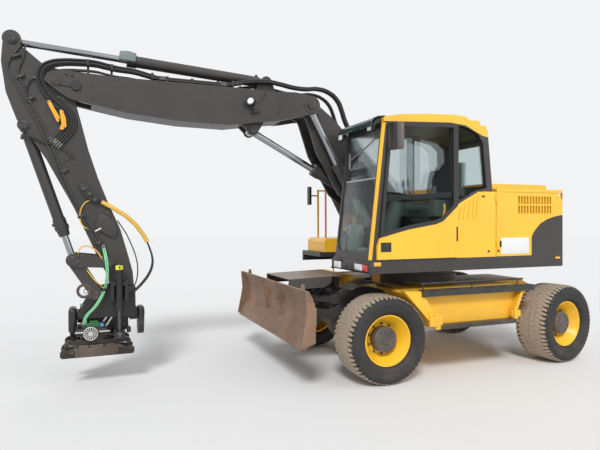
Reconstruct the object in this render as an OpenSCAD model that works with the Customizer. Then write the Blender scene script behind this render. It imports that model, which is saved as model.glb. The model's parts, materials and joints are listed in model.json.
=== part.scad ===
// Wheeled excavator of the 14 t class with a two-piece boom, a dozer blade
// and a tilting, turning quick coupler.
// Millimetres. +X is ahead (blade and boom), +Y is the cab's side, +Z is up.
// The ground is z = 0. Pin places are [x, z] ahead of the slew axis.

/* [Undercarriage] */
// Distance between the two axles
wheelbase = 2665; // [2500:5:2800]
// Tyre diameter over the lugs
tyre_d = 1030; // [1000:5:1050]
// Tyre width
tyre_w = 490; // [440:5:510]
// Width over the outer faces of the tyres
track_over_tyres = 2594; // [2540:2:2640]
// Number of lugs on each side of a tyre
lugs = 20; // [16:1:22]
// Diameter of the rim's flange
rim_d = 597; // [580:1:620]
// Angle at which the rear wheels are left standing
steer_rest = 8.5; // [0:0.5:12]
// Half width of the chassis box
chassis_half_w = 330; // [300:5:400]
// Underside of the chassis box
chassis_z = 640; // [600:5:680]
// Upper face of the chassis box
chassis_top = 1040; // [1000:5:1080]
// Length of the lower step
step_l = 1140; // [1000:10:1200]
// Height of the blade plate
blade_h = 620; // [560:5:660]
// Width of the blade
blade_w = 2600; // [2400:10:2640]
// Height of the blade's cutting edge above the ground as parked
blade_lift = 515; // [400:5:560]

/* [Upper structure] */
// How far the slew axis lies ahead of the middle of the wheelbase
slew_ahead = 194; // [150:1:230]
// Underside of the turning deck
deck_z = 1288; // [1270:1:1310]
// Height of the deck's skirt
deck_h = 153; // [130:1:180]
// Width of the deck over its skirts
upper_w = 2450; // [2400:10:2500]
// Radius of the tail about the slew axis
tail_r = 1975; // [1950:5:2050]
// Length of the counterweight at its foot
counterweight_l = 963; // [930:1:1000]
// Top of the side panels
panel_top = 2258; // [2200:2:2300]
// Top of the raised hood
hood_top = 2385; // [2340:5:2420]
// Thickness of sheet panels and doors
panel_t = 30; // [20:1:40]

/* [Cab] */
// Distance of the cab's inner side from the machine's middle
cab_inner = 245; // [230:5:270]
// Front of the cab at its foot, ahead of the slew axis
cab_front = 1361; // [1340:1:1380]
// How far the windscreen leans back from the foot to the roof
cab_lean = 186; // [150:2:220]
// Radius of the cab's front corners
cab_corner_r = 70; // [50:5:90]
// Back of the cab, ahead of the slew axis
cab_back = -375; // [-420:5:-340]
// Top of the cab's roof
cab_top = 3180; // [3120:5:3220]
// Width of a cab pillar
pillar_w = 70; // [60:1:90]

/* [Boom and arm] */
// Side offset of the boom's middle plane
boom_y = -160; // [-180:5:-150]
// Outer half width of the lower boom
base_half_w = 165; // [160:1:170]
// Side offset of each lift cylinder from the boom's middle plane
lift_lane = 245; // [240:1:250]
// Half width of the upper boom's box
boom_half_w = 190; // [180:1:200]
// Half width of the arm's box
arm_half_w = 115; // [100:1:122]
// Radius of the lift cylinder's barrel
lift_barrel_r = 65; // [60:1:68]
// Radius of the lift cylinder's rod
lift_rod_r = 40; // [35:1:45]
// Radius of the adjusting cylinder's barrel
adjust_barrel_r = 77; // [70:1:80]
// Radius of the adjusting cylinder's rod
adjust_rod_r = 44; // [38:1:48]
// Radius of the arm and tool cylinders' barrels
arm_barrel_r = 68; // [60:1:72]
// Radius of the arm and tool cylinders' rods
arm_rod_r = 38; // [32:1:42]

/* [Coupler] */
// Diameter of the pins that the quick coupler takes
tool_pin_d = 60; // [50:1:65]
// Distance between the coupler's two hooks
tool_pin_centres = 480; // [430:5:500]
// Width that the coupler takes between a bucket's ears
tool_pin_width = 340; // [300:5:360]

/* [Hidden] */
$fn = 48;

// The origin is on the ground under the middle of the whole machine
under_x = -1785;
slew_x = under_x + slew_ahead;

yellow = "#f5b81c";
grey = "#4b4745";
black = "#1d1d1f";
steel = "#8d8f92";
rust = "#6d5a4c";
glass = "#5a7a80";

// Pins of the boom, the arm and the tool linkage
pin_foot = [56, 1700];
pin_joint = [1637, 3400];
pin_lift = [640, 1510];
pin_belly = [2360, 3073];
pin_adjust = [560, 2100];
pin_nose = [4662, 3470];
pin_arm_cyl = [2170, 3712];
pin_arm_eye = [5111, 3908];
pin_tool_cyl = [4994, 2969];
pin_rocker = [4138, 1428];
pin_tool_eye = [4501, 1460];
pin_hitch = [3900, 1090];
pin_link = [4251, 1056];

// Wheels and axles
wheel_r = tyre_d / 2;
tyre_y = (track_over_tyres - tyre_w) / 2;
axle_x = wheelbase / 2;
nose_x = axle_x + 167.5;
step_out = track_over_tyres / 2 + 3;
kingpin_y = tyre_y - 300;
upper_half = upper_w / 2;
deck_top = deck_z + deck_h;
cab_y0 = cab_inner;
cab_w = upper_half - cab_inner;
cab_floor = deck_top;

// Helpers for points in 2D
function dist(a, b) = norm(b - a);
function turn_of(a, b) = atan2(b[1] - a[1], b[0] - a[0]);

module upper() { translate([slew_x, 0, 0]) children(); }
module under() { translate([under_x, 0, 0]) children(); }
module boom_side() { translate([slew_x, boom_y, 0]) children(); }

// An outline in X and Z, as a plate from y0 to y1
module plate(y0, y1) {
    translate([0, y1, 0]) rotate([90, 0, 0]) linear_extrude(y1 - y0) children();
}
// An outline in Y and Z, drawn along the machine from x0 to x1
module along(x0, x1) {
    translate([x0, 0, 0]) rotate([90, 0, 90]) linear_extrude(x1 - x0) children();
}
// The same plate on both sides of the middle plane
module plates(y0, y1) {
    plate(y0, y1) children();
    plate(-y1, -y0) children();
}
// A round bar across the machine through the pin p
module bar_y(p, r, y0, y1) {
    translate([p[0], y1, p[1]]) rotate([90, 0, 0]) cylinder(r = r, h = y1 - y0);
}
module bars_y(p, r, y0, y1) {
    bar_y(p, r, y0, y1);
    bar_y(p, r, -y1, -y0);
}
// Outline of a strap round two circles; its sides lie a hair inside the tangents
module strap(p, r, q, s) {
    a = turn_of(p, q);
    b = acos((r - s) / dist(p, q));
    translate(p) circle(r);
    translate(q) circle(s);
    polygon([
        p + (r - 0.3) * [cos(a + b), sin(a + b)], q + (s - 0.3) * [cos(a + b), sin(a + b)],
        q + (s - 0.3) * [cos(a - b), sin(a - b)], p + (r - 0.3) * [cos(a - b), sin(a - b)]
    ]);
}
// Puts what is drawn along +X on the line from pin p to pin q, at side offset y
module on_line(p, q, y) {
    translate([p[0], y, p[1]]) rotate([0, -turn_of(p, q), 0]) children();
}
module bar_x(r, x0, x1) {
    translate([x0, 0, 0]) rotate([0, 90, 0]) cylinder(r = r, h = x1 - x0);
}
// Hydraulic barrel: eye at the start, bore for the rod, gland at the end
module barrel(r, rod_r, l, eye_w, eye_r) {
    foot = eye_r + 22;
    difference() {
        union() {
            rotate([90, 0, 0]) cylinder(r = eye_r, h = eye_w, center = true);
            bar_x(min(r, eye_w / 2) - 1, 10, foot + 5);
            bar_x(r, foot, l);
            bar_x(r + 9, l - 110, l);
            translate([foot + 30, 0, r - 12]) cylinder(r = 18, h = 34);
            translate([l - 55, 0, r - 5]) cylinder(r = 18, h = 31);
        }
        bar_x(r - 11, foot + 20, l - 60);
        bar_x(rod_r + 0.4, l - 70, l + 10);
    }
}
// Rod drawn back along -X from its eye at the origin
module rod(r, l, eye_w, eye_r, piston_r) {
    rotate([90, 0, 0]) cylinder(r = eye_r, h = eye_w, center = true);
    bar_x(r, -l, -20);
    bar_x(piston_r, -l, -l + 50);
}
module box(x0, x1, y0, y1, z0, z1) {
    translate([x0, y0, z0]) cube([x1 - x0, y1 - y0, z1 - z0]);
}

// UNDERCARRIAGE

module chassis_frame() {
    color(yellow) under() {
        difference() {
            union() {
                // Central box with tapered ends
                plate(-chassis_half_w, chassis_half_w) polygon([
                    [-nose_x - 150, 760], [-nose_x + 50, chassis_z],
                    [nose_x - 80, chassis_z], [nose_x, 700], [nose_x, 960], [nose_x - 80, chassis_top],
                    [-nose_x + 50, chassis_top], [-nose_x - 150, 940]
                ]);
                // Step boxes on both sides, with sloping legs at their ends
                for (side = [-1, 1]) scale([1, side, 1]) {
                    plate(chassis_half_w, 1185) polygon([
                        [600, 600], [690, 600], [1100, 1040], [1080, 1066],
                        [-640, 1066], [-541, 760], [-541, 620], [-500, 600]
                    ]);
                    plate(1180, 1275) {
                        polygon([[605, 600], [690, 600], [1139, 1078], [911, 1066], [714, 811], [665, 785],
                            [605, 781]]);
                        polygon([[-645, 1000], [-541, 760], [-541, 620], [-490, 620], [-490, 780],
                            [-600, 1000]]);
                    }
                }
            }
            // Room for the fixed axle's housing
            box(axle_x - 215, axle_x + 215, -195, 195, 500, 722);
            // Arch over the oscillating rear axle
            translate([-axle_x, 0, 0]) plate(-500, 500)
                polygon([[-330, 600], [330, 600], [230, 800], [-230, 800]]);
        }
        // Seat of the slew ring
        translate([slew_ahead, 0, chassis_top - 20]) cylinder(r = 600, h = 150);
        translate([slew_ahead, 0, chassis_top + 130]) cylinder(r = 560, h = deck_z - chassis_top - 130.3);
        // Clamps of the fixed axle
        for (side = [-1, 1])
            box(axle_x - 120, axle_x + 120, side * 255 - 50, side * 255 + 50, wheel_r + 85, chassis_z + 20);
        // Pivot ears of the oscillating axle
        for (dx = [-280, 240])
            translate([-axle_x, 0, 0]) box(dx, dx + 40, -110, 110, wheel_r - 60, 820);
        // Guard plate over the blade's linkage
        translate([nose_x, 0, 0]) {
            plate(-440, 440) polygon([[-150, chassis_top - 5], [-130, 1200], [-110, 1207], [750, 1180],
                [750, 1170], [-90, 1197], [-105, chassis_top - 5]]);
            plates(428, 440) polygon([[160, 1195], [190, 1110], [280, 1060], [590, 1055], [750, 1110],
                [750, 1175]]);
        }
        // Ears of the blade linkage and its cylinders
        for (y = [-1, 1] * 270) for (dy = [-49.5, 24.5])
            plate(y + dy, y + dy + 25) {
                strap(blade_pivot, 60, [nose_x - 10, 760], 60);
                strap(link_pivot, 55, [nose_x - 10, 880], 60);
            }
        for (y = [-1, 1] * blade_cyl_y) for (dy = [-62, 42.5])
            plate(y + dy, y + dy + 19.5) strap(blade_cyl_pivot, 42, [nose_x - 70, 1000], 45);
    }
}

// Blade linkage pins, [x, z] ahead of the middle of the wheelbase
blade_pivot = [nose_x + 90, 690];
link_pivot = [nose_x + 90, 880];
blade_cyl_pivot = [nose_x, 1120];
blade_cyl_y = 150;
blade_eye = blade_pivot + [595, 85];
blade_shift = blade_eye - blade_pivot;
link_eye = link_pivot + blade_shift;
blade_cyl_eye = blade_pivot + [425, 128];
cutting_edge_x = nose_x + 905;

module axle_housing(half_l) {
    bar_y([0, wheel_r], 85, -half_l, half_l);
    translate([0, 0, wheel_r]) sphere(r = 190);
    bar_y([0, wheel_r], 120, -170, 170);
}
module axle_fixed() {
    color(grey) under() translate([axle_x, 0, 0]) {
        axle_housing(tyre_y - 185);
        bars_y([0, wheel_r], 170, tyre_y - 235, tyre_y - 148.3);
        for (side = [-1, 1])
            box(-90, 90, side * 255 - 45, side * 255 + 45, wheel_r, wheel_r + 85);
    }
}
module axle_steer() {
    color(grey) under() translate([-axle_x, 0, 0]) {
        axle_housing(kingpin_y - 140);
        translate([0, 0, wheel_r]) bar_x(55, -239.7, 239.7);
        // Yokes above and below each knuckle
        for (side = [-1, 1]) for (up = [-1, 1])
            translate([0, 0, wheel_r + up * 135]) linear_extrude(40, center = true)
                strap([0, side * (kingpin_y - 140)], 90, [0, side * kingpin_y], 60);
        for (side = [-1, 1])
            box(-70, 70, side * (kingpin_y - 175) - 50, side * (kingpin_y - 175) + 50,
                wheel_r - 155, wheel_r + 155);
        // Steering cylinder along the axle
        translate([-190, 0, wheel_r - 30]) rotate([90, 0, 0]) cylinder(r = 42, h = 560, center = true);
        box(-190, -100, -60, 60, wheel_r - 60, wheel_r);
    }
}
// The knuckle on the left side, drawn about its kingpin
module knuckle_shape() {
    translate([0, 0, wheel_r]) {
        cylinder(r = 52, h = 229.4, center = true);
        rotate([-90, 0, 0]) cylinder(r = 95, h = tyre_y - kingpin_y - 175);
        translate([0, tyre_y - kingpin_y - 235, 0]) rotate([-90, 0, 0]) cylinder(r = 165, h = 86.7);
        // Steering arm
        translate([0, 0, -15]) linear_extrude(30) strap([0, 20], 50, [-150, -40], 28);
    }
}
module at_kingpin(side) {
    under() translate([-axle_x, side * kingpin_y, 0]) rotate([0, 0, steer_rest]) children();
}
module knuckle_left() { color(grey) at_kingpin(1) knuckle_shape(); }
module knuckle_right() { color(grey) at_kingpin(-1) scale([1, -1, 1]) knuckle_shape(); }

// Wheel parts about their own middle; +Y is the outer side
// Facets round a wheel: each groove lies in the middle of one
wheel_sides = 2 * lugs;
module rim_shape() {
    rim_r = rim_d / 2;
    // Bead seats, conical dish, recess and hub in one turned section
    rotate([-90, 0, 0]) rotate_extrude($fn = wheel_sides) polygon([
        [rim_r - 22, -190], [rim_r, -190], [rim_r, -176], [rim_r - 12, -170], [rim_r - 12, 170],
        [rim_r, 176], [rim_r, 190], [rim_r - 14, 190], [190, 38], [172, 24], [hub_r + 5, 24],
        [hub_r, 34], [hub_r, 98], [hub_r - 15, 112], [0, 112], [0, -148], [hub_r - 5, -148],
        [165, -10], [190, 10], [rim_r - 26, 142], [rim_r - 26, -60]
    ]);
}
groove_depth = 18;
hub_r = 135;
mudguard_r = 628;
module tyre_shape() {
    bead = rim_d / 2 - 11.5;
    w = tyre_w / 2;
    rotate([-90, 0, 0]) difference() {
        rotate_extrude($fn = wheel_sides) polygon([
            [bead, -168], [bead + 20, -172], [bead + 90, -w], [wheel_r - 60, -w + 4], [wheel_r, -w + 40],
            [wheel_r, w - 40], [wheel_r - 60, w - 4], [bead + 90, w], [bead + 20, 172], [bead, 168]
        ]);
        // Slanting grooves between the lugs, open at both shoulders
        for (k = [0:lugs - 1]) for (side = [-1, 1])
            rotate([0, 0, (k + 0.5 + side / 4) * 360 / lugs]) translate([wheel_r - groove_depth, 0, 0])
                rotate([0, 90, 0]) linear_extrude(60) polygon([
                    [side * 30, -26], [side * w * 1.1, 6], [side * w * 1.1, 34], [side * 30, -2]
                ]);
    }
}
module at_front_wheel(side) {
    under() translate([axle_x, side * tyre_y, wheel_r]) scale([1, side, 1]) children();
}
module at_rear_wheel(side) {
    at_kingpin(side) translate([0, side * (tyre_y - kingpin_y), wheel_r]) scale([1, side, 1]) children();
}
module rim_front_left() { color(yellow) at_front_wheel(1) rim_shape(); }
module rim_front_right() { color(yellow) at_front_wheel(-1) rim_shape(); }
module rim_rear_left() { color(yellow) at_rear_wheel(1) rim_shape(); }
module rim_rear_right() { color(yellow) at_rear_wheel(-1) rim_shape(); }
module tyre_front_left() { color(black) at_front_wheel(1) tyre_shape(); }
module tyre_front_right() { color(black) at_front_wheel(-1) tyre_shape(); }
module tyre_rear_left() { color(black) at_rear_wheel(1) tyre_shape(); }
module tyre_rear_right() { color(black) at_rear_wheel(-1) tyre_shape(); }

module steps() {
    color(black) under() for (side = [-1, 1]) scale([1, side, 1]) {
        // Upper beam and its tread
        box(-795, 900, step_out - 24.7, step_out, 1000, 1066);
        box(-795, 900, 1190, step_out - 10, 1066.3, 1074);
        // Lower tread between the legs, with its outer lip
        box(57.5 - step_l / 2 + 23, 57.5 + step_l / 2 - 23, 1185.3, step_out - 4, 600.3, 650);
        box(57.5 - step_l / 2, 57.5 + step_l / 2, step_out - 24.7, step_out - 4, 600.3, 650);
        // Guard rail on its posts
        translate([-645, 1245, 1150]) rotate([0, 90, 0]) cylinder(r = 12, h = 1545);
        for (x = [-560, 150, 860]) translate([x, 1245, 1070]) cylinder(r = 8, h = 80);
        // Mudguard over the inner half of the front wheel, with its bracket
        translate([axle_x, 0, wheel_r]) plate(500, 880) difference() {
            circle(mudguard_r);
            circle(mudguard_r - 10);
            polygon([[0, 0], [1400, 2200], [1400, -900], [-900, -900], [-900, 0]]);
            translate([-900, -900]) square([1800, chassis_top + 30 - wheel_r + 900]);
        }
        along(axle_x - 65, axle_x - 15) polygon([
            [chassis_half_w + 0.3, chassis_top - 55], [chassis_half_w + 0.3, chassis_top - 5],
            [505, wheel_r + mudguard_r - 3], [600, wheel_r + mudguard_r - 3],
            [600, wheel_r + mudguard_r - 22], [515, wheel_r + mudguard_r - 22]
        ]);
    }
}

// Front face of the blade as [depth behind the cutting edge, height above it]
blade_curve = [
    [0, 0], [65, 125], [110, 225], [130, 335], [120, 435], [87, 533], [42, 620]
];
module blade_outline() {
    polygon(concat(
        [for (p = blade_curve) [cutting_edge_x - p[0], blade_lift + p[1] * blade_h / 620]],
        [for (i = [len(blade_curve) - 1:-1:0]) let (p = blade_curve[i])
            [cutting_edge_x - p[0] - 22, blade_lift + p[1] * blade_h / 620 + 6]]
    ));
}
module blade() {
    color(rust) under() {
        plate(-blade_w / 2, blade_w / 2) blade_outline();
        // Bolt-on cutting edges with gaps between them
        for (k = [-1, 0, 1]) plate((k - 0.5) * (blade_w - 60) / 3 + 4, (k + 0.5) * (blade_w - 60) / 3 - 4)
            polygon([
                [cutting_edge_x + 18, blade_lift - 10], [cutting_edge_x + 2, blade_lift - 10],
                [cutting_edge_x - 68, blade_lift + 125], [cutting_edge_x - 98, blade_lift + 192],
                [cutting_edge_x - 84, blade_lift + 198], [cutting_edge_x - 50, blade_lift + 128]
            ]);
        // End plates
        for (y = [-blade_w / 2, blade_w / 2 - 22])
            plate(y, y + 22) polygon([
                [cutting_edge_x + 30, blade_lift + 5], [cutting_edge_x - 20, blade_lift + 245],
                [cutting_edge_x - 45, blade_lift + 385], [cutting_edge_x - 25, blade_lift + blade_h + 5],
                [cutting_edge_x - 62, blade_lift + blade_h + 5], [cutting_edge_x - 130, blade_lift + 490],
                [cutting_edge_x - 142, blade_lift + 405], [cutting_edge_x - 140, blade_lift + 60]
            ]);
        // Lifting lugs on the top edge
        for (y = [-1, 1] * 1050) plate(y - 10, y + 10) polygon([
            [cutting_edge_x - 60, blade_lift + blade_h - 30],
            [cutting_edge_x - 118, blade_lift + blade_h - 30],
            [cutting_edge_x - 112, blade_lift + blade_h + 50],
            [cutting_edge_x - 82, blade_lift + blade_h + 55]
        ]);
        // Box rib behind the plate and the ears of the linkage
        plate(-blade_w / 2 + 30, blade_w / 2 - 30) polygon([
            [cutting_edge_x - 125, blade_lift + 200], [cutting_edge_x - 165, blade_lift + 240],
            [cutting_edge_x - 165, blade_lift + 430], [cutting_edge_x - 130, blade_lift + 460]
        ]);
        for (y = [-1, 1] * 270) for (dy = [-49.5, 24.5])
            plate(y + dy, y + dy + 25) {
                strap(blade_eye, 55, [cutting_edge_x - 150, blade_lift + 260], 60);
                strap(link_eye, 50, [cutting_edge_x - 120, blade_lift + 430], 60);
            }
    }
}
module blade_arms() {
    color(grey) under() {
        for (y = [-1, 1] * 270) plate(y - 24, y + 24) {
            strap(blade_pivot, 55, blade_eye, 50);
        }
        // Cross tube with the ears of the blade's cylinders
        bar_y(blade_pivot + [400, 38], 40, -270, 270);
        for (y = [-1, 1] * blade_cyl_y) for (dy = [-62, 42.5])
            plate(y + dy, y + dy + 19.5) strap(blade_cyl_eye, 36, blade_pivot + [400, 38], 50);
    }
}
module blade_links() {
    color(grey) under() for (y = [-1, 1] * 270)
        plate(y - 24, y + 24) strap(link_pivot, 38, link_eye, 38);
}
module blade_barrels() {
    color(grey) under() for (y = [-1, 1] * blade_cyl_y)
        on_line(blade_cyl_pivot, blade_cyl_eye, y) barrel(42, 24, 500, 84, 38);
}
module blade_rods() {
    color(steel) under() for (y = [-1, 1] * blade_cyl_y)
        on_line(blade_cyl_eye, blade_cyl_pivot, y) scale([-1, 1, 1]) rod(24, 477, 84, 38, 30);
}

// UPPER STRUCTURE

// Plan of the deck, with a round tail and a slot for the boom at the front
module deck_plan(inset) {
    difference() {
        intersection() {
            translate([-tail_r - 10, -upper_half + inset])
                square([tail_r + 10 + cab_front, upper_w - 2 * inset]);
            union() {
                circle(tail_r - inset, $fn = 96);
                translate([0, -upper_half]) square([cab_front, upper_w]);
            }
        }
        translate([950, boom_y - 380]) square([1000, cab_y0 - boom_y + 380]);
        translate([cab_front - 150, -upper_half - 10]) square([300, upper_half + boom_y - 300]);
    }
}
module deck() {
    color(grey) upper() {
        translate([0, 0, deck_z]) difference() {
            linear_extrude(deck_h) deck_plan(0);
            translate([0, 0, -1]) linear_extrude(90) difference() {
                deck_plan(40);
                circle(700);
            }
        }
        // Boom foot bracket: two side plates
        translate([0, boom_y, 0]) plates(base_half_w + 8, base_half_w + 38) {
            translate(pin_foot) circle(120);
            polygon([[-420, deck_top - 5], [pin_foot[0] - 110, pin_foot[1] + 40],
                [pin_foot[0] + 60, pin_foot[1] + 105], [560, deck_top - 5]]);
        }
        translate([0, boom_y, 0]) bars_y(pin_foot, 45, base_half_w + 0.3, base_half_w + 50);
        // Ears of the lift cylinders
        translate([0, boom_y, 0]) for (dy = [-62, 37])
            plates(lift_lane + dy, lift_lane + dy + 25) {
                translate(pin_lift) circle(65);
                polygon([[pin_lift[0] - 180, deck_top - 5], [pin_lift[0] - 60, pin_lift[1] + 25],
                    [pin_lift[0] + 60, pin_lift[1] + 25], [pin_lift[0] + 88, deck_top - 5]]);
            }
    }
}
// Curved edge between the yellow door and the dark counterweight, moved by a gap
counterweight_x = counterweight_l - tail_r;
edge_curve = [
    [0, 1673], [-23, 1725], [-71, 1782], [-153, 1855], [-264, 1910], [-388, 1945], [-533, 1970]
];
skirt_z = 1972;
function door_edge(g) = concat([[counterweight_x - g, deck_top + 3]], [
    for (p = edge_curve) [counterweight_x + p[0] - (p[1] < 1800 ? g : 0), p[1] - (p[1] > 1700 ? g : 0)]
]);
module counterweight() {
    color(grey) upper() difference() {
        intersection() {
            translate([0, 0, deck_top + 0.3]) linear_extrude(panel_top) deck_plan(0);
            plate(-upper_half - 1, upper_half + 1) polygon(concat(
                door_edge(5), [
                    [-tail_r - 10, skirt_z - 5], [-tail_r - 10, deck_top], [counterweight_x - 5, deck_top]
                ]
            ));
        }
        // Room for the engine bay
        box(415 - tail_r, counterweight_x + 112, -700, 700, deck_top - 10, panel_top + 10);
    }
}
module engine_block() {
    color(steel) upper() box(475 - tail_r, 1275 - tail_r, -560, 560, deck_top + 0.3, panel_top - 120);
}
module tanks() {
    // Hydraulic and fuel tanks with the tool box, on the right
    outer = 8 - upper_half;
    color(yellow) upper() difference() {
        union() {
            along(-420, 560) polygon([
                [outer, deck_top + 0.3], [outer, panel_top - 70], [outer + 12, panel_top - 28],
                [outer + 38, panel_top - 7], [outer + 80, panel_top], [boom_y - 400, panel_top],
                [boom_y - 400, deck_top + 0.3]
            ]);
            plate(outer, boom_y - 420) polygon([
                [560.3, deck_top + 0.3], [1120, deck_top + 0.3], [1120, 1585], [1108, 1620], [1075, 1640],
                [560.3, 1640]
            ]);
            // Filler necks
            for (x = [-240, 330]) translate([x, -900, panel_top - 5]) cylinder(r = 58, h = 32);
        }
        // Joints round the tank doors and the tool box's lid
        for (x = [-392, 68, 528]) box(x, x + 8, outer - 1, outer + 6, deck_top + 40, panel_top - 90);
        for (z = [deck_top + 40, panel_top - 98]) box(-392, 536, outer - 1, outer + 6, z, z + 8);
        box(580, 1121, outer - 1, outer + 6, 1560, 1567);
        box(1114, 1121, outer - 1, boom_y - 419, 1560, 1567);
    }
}
// Louvres as [lower end, upper end] of each front edge
louvres = [
    [[142, 1912], [112, 2046]], [[84, 1915], [42, 2098]], [[10, 1920], [-22, 2141]],
    [[-64, 1930], [-88, 2184]], [[-122, 1944], [-150, 2212]]
];
module side_panels() {
    color(yellow) upper() {
        // Panel behind the door with its slanting louvres
        plate(upper_half - panel_t, upper_half) polygon(concat(
            [[door_back - 6, deck_top + 1], [door_back - 6, 2076]],
            rear_sill, [[-429, 2256], [-429, deck_top + 1]]
        ));
        for (k = louvres) plate(upper_half - 1, upper_half + 9)
            polygon([k[0], k[0] - [26, 0], k[1] - [26, 0], k[1]]);
        // Posts with the fixed halves of the door hinges
        for (side = [-1, 1]) scale([1, side, 1]) {
            box(-438, -430, upper_half - 90, upper_half - 10, deck_top + 0.3, panel_top - 4);
            for (z = [1620.3, 2160.3]) {
                door_barrel(z, z + 50);
                box(-438, -424, upper_half + 3, upper_half + 12, z, z + 50);
                box(-432, -424, upper_half - 50, upper_half + 12, z, z + 50);
            }
        }
        // Bulkhead behind the cab and the boom
        box(-460, -432, -upper_half + 40, upper_half - 40, deck_top + 0.3, panel_top + 0.2);
    }
}
module hood() {
    color(yellow) upper() difference() {
        union() {
            translate([0, 0, panel_top + 0.5]) linear_extrude(40) intersection() {
                deck_plan(0);
                translate([-tail_r - 10, -upper_half]) square([tail_r - 435, upper_w]);
            }
            box(-1600, -560, -900, 900, panel_top + 30, hood_top);
            // Rear skirt down to the counterweight
            translate([0, 0, skirt_z]) linear_extrude(panel_top + 5 - skirt_z) difference() {
                intersection() {
                    deck_plan(0);
                    translate([-tail_r - 10, -upper_half]) square([tail_r - 1545, upper_w]);
                }
                circle(tail_r - 40, $fn = 96);
                translate([-1700, -upper_half + 40]) square([400, upper_w - 80]);
            }
        }
        box(-1570, -590, -870, 870, panel_top - 1, hood_top - 30);
    }
}
// Grille of an engine door: two rows of three groups of four slots
module grille() {
    for (row = [1986, 2108]) for (group = [-337, -143, 50]) for (slot = [0:3])
        translate([counterweight_x + group + slot * 47, row]) square([28, 99]);
}
module engine_door(side) {
    color(yellow) upper() scale([1, side, 1]) {
        intersection() {
            plate(upper_half - panel_t, upper_half) difference() {
                polygon([
                    [-440, deck_top + 3], each door_edge(0), [counterweight_x - 533, 2150],
                    [counterweight_x - 497, 2208], [counterweight_x - 435, panel_top - 3],
                    [-440, panel_top - 3]
                ]);
                grille();
            }
            linear_extrude(3000) deck_plan(0);
        }
        for (z = [1560, 2100]) {
            door_barrel(z, z + 60);
            box(-448, -440, upper_half - 2, upper_half + 10, z, z + 60);
        }
    }
}
module engine_door_left() { engine_door(1); }
module engine_door_right() { engine_door(-1); }

// Hinge barrels of an engine door about its axis, from z0 to z1
module door_barrel(z0, z1) {
    translate([-440, upper_half + 10, z0]) cylinder(r = 9, h = z1 - z0);
}

// CAB

// Heights along the cab: foot, lower edge of the roof at its front
cab_eave = cab_top - 140;
front_slope = atan(cab_lean / (cab_eave - cab_floor));
function front_x(z) = cab_front - (z - cab_floor) * tan(front_slope);
// Upper edge of the yellow panels under the windows, from the front of the door to the hood
sill = [[1252, 1697], [879, 1790], [489, 1853], [389, 1887], [184, 2064]];
rear_sill = [[161, 2085], [56, 2143], [-156, 2250], [-243, 2256], [-396, 2256]];
door_back = 172;
mid_bar = [[1193, 2175], [242, 2242], [242, 2185], [1193, 2118]];

// Draws a plan outline up along the leaning front, at the foot's front edge
module along_front(z0, z1) {
    translate([cab_front, 0, cab_floor]) rotate([0, -front_slope, 0])
        translate([0, 0, z0 - cab_floor]) linear_extrude((z1 - z0) / cos(front_slope)) children();
}
// Underside of the roof
roof_line = [
    [front_x(cab_eave) + 2, cab_eave], [263, cab_top - 98], [34, cab_top - 117], [-222, cab_top - 232],
    [-312, cab_top - 246]
];
// Side outline of the cab under its roof
module cab_side(inset) {
    polygon([
        [cab_front - inset, cab_floor + inset], [front_x(cab_eave) - inset, cab_eave - 0.3 - inset],
        roof_line[1] - [0, inset + 0.3], roof_line[2] + [inset / 4, -inset - 0.3],
        roof_line[3] + [inset, -inset / 2 - 0.3], roof_line[4] + [inset, -inset / 2 - 0.3],
        [cab_back + inset, 2280], [cab_back + inset, cab_floor + inset]
    ]);
}
module cab_shell() {
    difference() {
        plate(cab_y0, upper_half) cab_side(0);
        plate(cab_y0 + 45, upper_half - 45) cab_side(55);
        // Round front corners that follow the leaning windscreen
        for (side = [0, 1]) translate([0, side * (cab_y0 + upper_half), 0]) scale([1, 1 - 2 * side, 1])
            along_front(cab_floor - 60, cab_top) translate([-cab_corner_r, cab_y0 + cab_corner_r])
                difference() {
                    translate([0, -cab_corner_r - 10]) square(cab_corner_r + 10);
                    circle(cab_corner_r);
                }
    }
}
// Draws an outline in Y and along the slope, through the leaning front from x0 to x1
module through_front(x0, x1) {
    translate([cab_front, 0, cab_floor]) rotate([0, -front_slope, 0]) along(x0, x1) children();
}
screen_r = 110;
function windscreen(g) = let (
    left = upper_half - 75 - g, right = cab_y0 + 75 + g,
    foot = (1530 - cab_floor) / cos(front_slope) + g,
    head = (cab_eave - 70 - cab_floor) / cos(front_slope) - g
) concat(
    [for (a = [180:15:270]) [right + screen_r * (1 + cos(a)), foot + screen_r * (1 + sin(a))]],
    [for (a = [270:15:360]) [left - screen_r * (1 - cos(a)), foot + screen_r * (1 + sin(a))]],
    [[left, head], [right, head]]
);
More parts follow.
